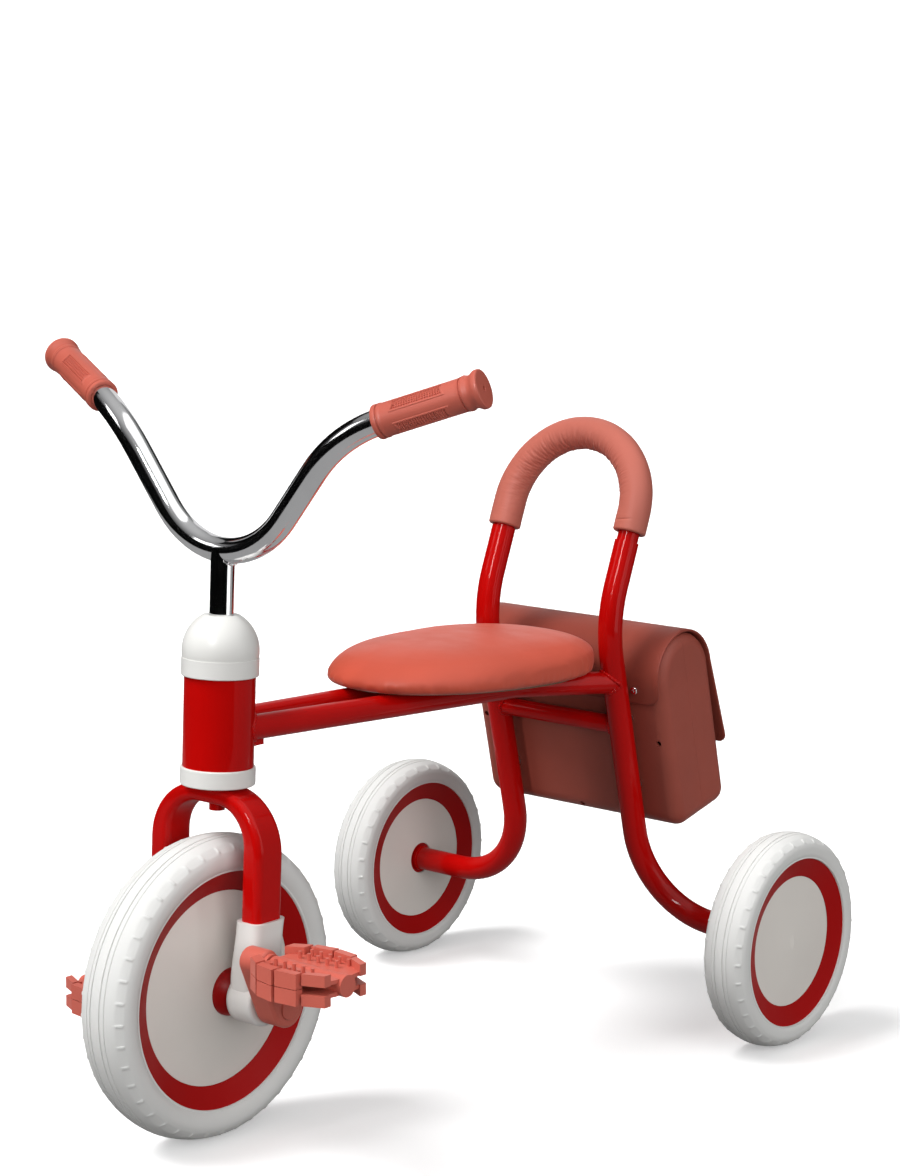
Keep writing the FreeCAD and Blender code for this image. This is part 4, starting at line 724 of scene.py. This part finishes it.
def flap():
    """One moulded flap: its front tab is screwed to the trunk and the rest arches over the trunk's
    top and down its back.
    """
    line = flap_line()
    lengths = [0.0]
    for a, b in zip(line, line[1:]):
        lengths.append(lengths[-1] + math.hypot(b[0] - a[0], b[1] - a[1]))
    total = lengths[-1]
    half_thick = FLAP_THICK / 2
    rows = [(0, end_step) for end_step in FLAP_END]
    rows += [(i, None) for i in range(1, len(line) - 1)]
    rows += [(len(line) - 1, end_step) for end_step in reversed(FLAP_END)]
    grid = np.zeros((len(rows), 2 * (FLAP_COLS + 1 + len(FLAP_EDGE)), 3))
    for n, (i, end_step) in enumerate(rows):
        y, z, out_y, out_z = line[i]
        thick = half_thick
        s = min(lengths[i], total - lengths[i])
        if end_step is not None:
            thick = half_thick * math.sqrt(1 - (1 - end_step) ** 2)
            s = half_thick * end_step
            inset = half_thick * (1 - end_step) - half_thick
            sign = -1 if i == 0 else 1
            y += sign * out_z * inset
            z -= sign * out_y * inset
        half = FLAP_HALF
        corner = TAB_CORNER if lengths[i] < total / 2 else TAIL_CORNER
        if s < corner:
            half -= corner - math.sqrt(corner ** 2 - (corner - s) ** 2)
        wave = 0.0
        if WAVE_START * total < lengths[i] < WAVE_END * total:
            wave = WAVE_HEIGHT * math.sin(math.pi * (lengths[i] / total - WAVE_START)
                                          / (WAVE_END - WAVE_START))
        for j, (x, out) in enumerate(flap_ring(half, thick, wave)):
            grid[n, j] = bag_point(x, y + out * out_y, z + out * out_z)
    obj = make("trunk_flap", grid, FLAP_LOOK, None,
               ["trunk_flap_tab", "trunk_lid"], loop_rows=False, sharp=60.0)
    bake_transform(obj)


flap()

# ------------------------------------------------------------------ weld beads

WELD_COLS, WELD_SIDES = 120, 10
# Radii of the bars and tubes that the beads join.
RAIL_RADIUS, LEG_RADIUS, HEAD_RADIUS, BRACE_RADIUS = 10.2, 11.0, 28.7, 8.2
STEM_RADIUS, BAR_RADIUS = 9.7, 10.5


def weld(name, start, along, radius, wall_point, wall_axis, wall_radius, bead=1.7, seed=0.0,
         look="red_paint", body="frame"):
    """A rippled bead where a round bar runs into a round tube."""
    origin, u, v, w = frame_of(start, along)
    wall_point = np.array(wall_point, float)
    axis = np.array(wall_axis, float)
    axis /= np.linalg.norm(axis)
    line = []
    for angle in round_steps(WELD_COLS):
        point = origin + radius * (math.cos(angle) * u + math.sin(angle) * v)
        flat = point - wall_point - axis * np.dot(point - wall_point, axis)
        step = w - axis * np.dot(w, axis)
        a, b, c = step @ step, flat @ step, flat @ flat - wall_radius ** 2
        reach = (-b - math.sqrt(max(b * b - a * c, 0.0))) / a
        line.append(point + w * reach)
    grid = np.zeros((WELD_COLS, WELD_SIDES, 3))
    for k in range(WELD_COLS):
        tangent = line[(k + 1) % WELD_COLS] - line[k - 1]
        tangent /= np.linalg.norm(tangent)
        side = np.cross(tangent, w)
        side /= np.linalg.norm(side)
        lift = np.cross(side, tangent)
        ripple = 0.16 * math.sin(k * 2 * math.pi / WELD_COLS * round(radius * 2.6))
        size = bead * (1 + ripple + 0.15 * noise.noise(Vector((k * 0.11, seed, 0.5))))
        for j, angle in enumerate(round_steps(WELD_SIDES)):
            grid[k, j] = MM * (line[k] + size * (math.cos(angle) * side
                                                 + math.sin(angle) * lift))
    return make(name, grid, LOOKS[look], body, sharp=180.0)


HEAD_AXIS = (0.0, math.sin(RAKE), math.cos(RAKE))
LEG_AXIS = (0.0, -LEG_SLOPE, 1.0)
HEAD_PLACE = (0.0, -237.0, 0.0)         # where the steering axis meets the floor
STEM_REACH = 30.0                       # the stem's weld is drawn from this far under the bar
for side, tag in ((1, "left"), (-1, "right")):
    leg = (side * 71.2, 210.8, 320.0)
    weld("weld_rail_leg_" + tag, (side * 28.4, 125.0, 322.78), (side * 43.8, 85.8, -3.14),
         RAIL_RADIUS, leg, LEG_AXIS, LEG_RADIUS, seed=side)
    weld("weld_rail_head_" + tag, (side * 17.5, -165.0, 333.4), (-side * 0.0376, -0.9986, 0.0366),
         RAIL_RADIUS, HEAD_PLACE, HEAD_AXIS, HEAD_RADIUS, seed=side * 2.0)
    weld("weld_brace_" + tag, (0.0, 221.08, 277.7), (side, 0, 0), BRACE_RADIUS, leg, LEG_AXIS,
         LEG_RADIUS, bead=1.5, seed=side * 3.0)

bar_middle = np.array([tuple(vert.co) for vert in frame["nodes"]["handlebar"].data.vertices
                       if abs(vert.co.x) < 4 * MM]) / MM
bar_centre = (bar_middle.min(0) + bar_middle.max(0)) / 2
weld("weld_stem_bar",
     (0.0, bar_centre[1] - math.tan(RAKE) * STEM_REACH, bar_centre[2] - STEM_REACH),
     HEAD_AXIS, STEM_RADIUS, (0.0, bar_centre[1], bar_centre[2]), (1.0, 0.0, 0.0), BAR_RADIUS,
     bead=1.3, look="chrome", body="steering")

# ------------------------------------------------------------------ softened edges on CAD nodes

SOFTEN = {"rail_gusset": 1.0, "stem_bolt": 0.6}         # width of the rounded edge in mm
for tag in ("left", "right"):
    SOFTEN.update({"pedal_upper_" + tag: 0.5, "pedal_lower_" + tag: 0.5, "pedal_cap_" + tag: 0.8,
                   "fork_shell_" + tag: 0.9, "front_disc_" + tag: 0.4})
for node, width in SOFTEN.items():
    soften = frame["nodes"][node].modifiers.new("soften", "BEVEL")
    soften.width = width * MM
    soften.segments = 2
    soften.limit_method = "ANGLE"
    soften.angle_limit = math.radians(50)
    soften.harden_normals = True


# ------------------------------------------------------------------ floor, light and camera

def unseen(obj, *rays):
    """Hide a stage piece from some kinds of ray."""
    for ray in rays:
        setattr(obj, "visible_" + ray, False)


def stage_sheet(name, verts, faces, color, glow=0.0):
    """A matt sheet of the set, which may glow."""
    mesh = bpy.data.meshes.new(name)
    mesh.from_pydata(verts, [], faces)
    obj = link(bpy.data.objects.new(name, mesh))
    mat, _, shader = principled(name, color, 0.9, spec=0.0)
    shader.inputs["Emission Color"].default_value = (1, 1, 1, 1)
    shader.inputs["Emission Strength"].default_value = glow
    obj.data.materials.append(mat)
    return obj


def disc(height):
    """Points of a wide circle over or under the floor."""
    return [(FLOOR_RADIUS * math.cos(a), FLOOR_RADIUS * math.sin(a), height)
            for a in round_steps(STAGE_SIDES)]


BLACK = (0.0, 0.0, 0.0)
FLOOR_RADIUS, STAGE_SIDES = 40.0, 96
WHOLE = [tuple(range(STAGE_SIDES))]     # one face over a whole disc

# The floor that is seen takes the shadows; two sheets just under it give the light that it
# throws back and the one that glossy things mirror.
unseen(stage_sheet("floor", disc(0.0), WHOLE, (0.92, 0.92, 0.92), 0.30), "diffuse", "glossy")
unseen(stage_sheet("floor_bounce", disc(-0.0005), WHOLE, (0.34, 0.34, 0.34)),
       "camera", "glossy", "shadow")
unseen(stage_sheet("floor_shine", disc(-0.001), WHOLE, BLACK, 0.34),
       "camera", "diffuse", "shadow")

# A white dome behind everything, seen by the camera alone.
DOME = ((39.0, -0.05), (40.0, 4.0), (41.0, 14.0), (36.0, 30.0), (20.0, 44.0))
wall_verts = [(radius * math.cos(a), radius * math.sin(a), height)
              for radius, height in DOME for a in round_steps(STAGE_SIDES)]
wall_faces = []
for row in range(len(DOME) - 1):
    low_row, high_row = row * STAGE_SIDES, (row + 1) * STAGE_SIDES
    for k in range(STAGE_SIDES):
        nxt = (k + 1) % STAGE_SIDES
        wall_faces.append((low_row + k, low_row + nxt, high_row + nxt, high_row + k))
unseen(stage_sheet("backdrop", wall_verts, wall_faces, BLACK, 1.2),
       "diffuse", "glossy", "transmission", "shadow")

# Cards round the set, seen only in reflections: (first and last azimuth from -Y towards +X,
# lower and upper edge in metres, glow). The dark ones frame the bright ones.
REFLECTION_ONLY = ("camera", "diffuse", "transmission", "shadow")
CARD_RADIUS, CARD_STEPS = 1.7, 16
CARDS = [(-60, 84, 0.0, 1.1, 0.0), (84, 116, 0.1, 2.8, 1.6), (116, 150, 0.0, 1.9, 0.35),
         (150, 205, 0.0, 1.7, 0.0), (205, 236, 0.0, 2.2, 0.75), (236, 300, 0.0, 1.9, 0.0)]
for index, (start, stop, low_edge, high_edge, glow) in enumerate(CARDS):
    verts = []
    for k in range(CARD_STEPS + 1):
        turn = math.radians(start + (stop - start) * k / CARD_STEPS)
        for height in (low_edge, high_edge):
            verts.append((CARD_RADIUS * math.sin(turn), -CARD_RADIUS * math.cos(turn), height))
    faces = [(2 * k, 2 * k + 2, 2 * k + 3, 2 * k + 1) for k in range(CARD_STEPS)]
    unseen(stage_sheet("card_%d" % index, verts, faces, (0.004, 0.004, 0.004), glow),
           *REFLECTION_ONLY)
CEILING = [(-0.1, -1.3, 2.3), (2.4, -1.3, 2.1), (2.4, 1.4, 2.1), (-0.1, 1.4, 2.3)]
STREAK = [(0.41, -2.06, 1.15), (0.75, -1.97, 1.15), (0.75, -1.90, 2.25), (0.41, -1.99, 2.25)]
for name, corners, glow in (("card_ceiling", CEILING, 1.25), ("card_streak", STREAK, 26.0)):
    unseen(stage_sheet(name, corners, [(0, 1, 2, 3)], BLACK, glow), *REFLECTION_ONLY)

CAMERA_PLACE = (1.5255, -1.7546, 0.7966)
AZIMUTH, ELEVATION, ROLL = math.radians(40.01), math.radians(9.13), math.radians(0.49)
SENSOR, LENS = 36.0, 84.094898          # millimetres; the sensor's longer side
camera_data = bpy.data.cameras.new("camera")
camera = link(bpy.data.objects.new("camera", camera_data))
back = Vector((math.sin(AZIMUTH) * math.cos(ELEVATION),
               -math.cos(AZIMUTH) * math.cos(ELEVATION), math.sin(ELEVATION)))
right = Vector((math.cos(AZIMUTH), math.sin(AZIMUTH), 0.0))
up = back.cross(right)
rolled_right = right * math.cos(ROLL) + up * math.sin(ROLL)
rolled_up = back.cross(rolled_right)
pose = Matrix((rolled_right, rolled_up, back)).transposed().to_4x4()
pose.translation = Vector(CAMERA_PLACE)
camera.matrix_world = pose
camera_data.sensor_fit = "AUTO"
camera_data.sensor_width = SENSOR
camera_data.lens = LENS
camera_data.clip_end = 200.0
bpy.context.scene.camera = camera


def lamp(name, kind, power, direction):
    """A light that shines against the given direction."""
    data = bpy.data.lights.new(name, kind)
    data.energy = power
    light = link(bpy.data.objects.new(name, data))
    light.rotation_euler = Vector(direction).to_track_quat("Z", "Y").to_euler()
    return light


def area(name, where, target, width, height, power):
    """A rectangular light at a place, aimed at a target."""
    light = lamp(name, "AREA", power, Vector(where) - Vector(target))
    light.location = where
    light.data.shape = "RECTANGLE"
    light.data.size = width
    light.data.size_y = height
    return light


def sun(name, source, strength, spread):
    """A distant light that doesn't show in reflections."""
    light = lamp(name, "SUN", strength, source)
    light.data.angle = math.radians(spread)
    unseen(light, "glossy")


sun("overhead", (-0.62, -0.75, 1.45), 2.9, 30.0)
sun("fill_right", (1.0, -0.50, 0.35), 1.80, 50.0)
area("key_left", (-2.0, -2.3, 1.5), (0, 0, 0.3), 0.8, 1.8, 9.0)
unseen(area("strip_left", (-0.50, -3.1, 0.9), (0, 0, 0.35), 0.06, 2.2, 26.0), "glossy")
area("rim_right", (2.9, 0.9, 1.1), (0, 0, 0.3), 0.25, 1.6, 5.0)

# The sky: dark at the horizon and brighter overhead.
world = bpy.data.worlds.new("studio")
bpy.context.scene.world = world
world.use_nodes = True
tree = world.node_tree
background = tree.nodes["Background"]
coords = tree.nodes.new("ShaderNodeTexCoord")
split = tree.nodes.new("ShaderNodeSeparateXYZ")
tree.links.new(coords.outputs["Generated"], split.inputs["Vector"])
ramp = tree.nodes.new("ShaderNodeValToRGB")
tree.links.new(split.outputs["Z"], ramp.inputs["Fac"])
ramp.color_ramp.elements[0].position = 0.0
ramp.color_ramp.elements[0].color = (0.03, 0.03, 0.032, 1)
ramp.color_ramp.elements[1].position = 0.95
ramp.color_ramp.elements[1].color = (0.5, 0.5, 0.5, 1)
middle = ramp.color_ramp.elements.new(0.35)
middle.color = (0.05, 0.05, 0.052, 1)
tree.links.new(ramp.outputs["Color"], background.inputs["Color"])
background.inputs["Strength"].default_value = 1.0
bpy.context.scene.view_settings.view_transform = "Standard"
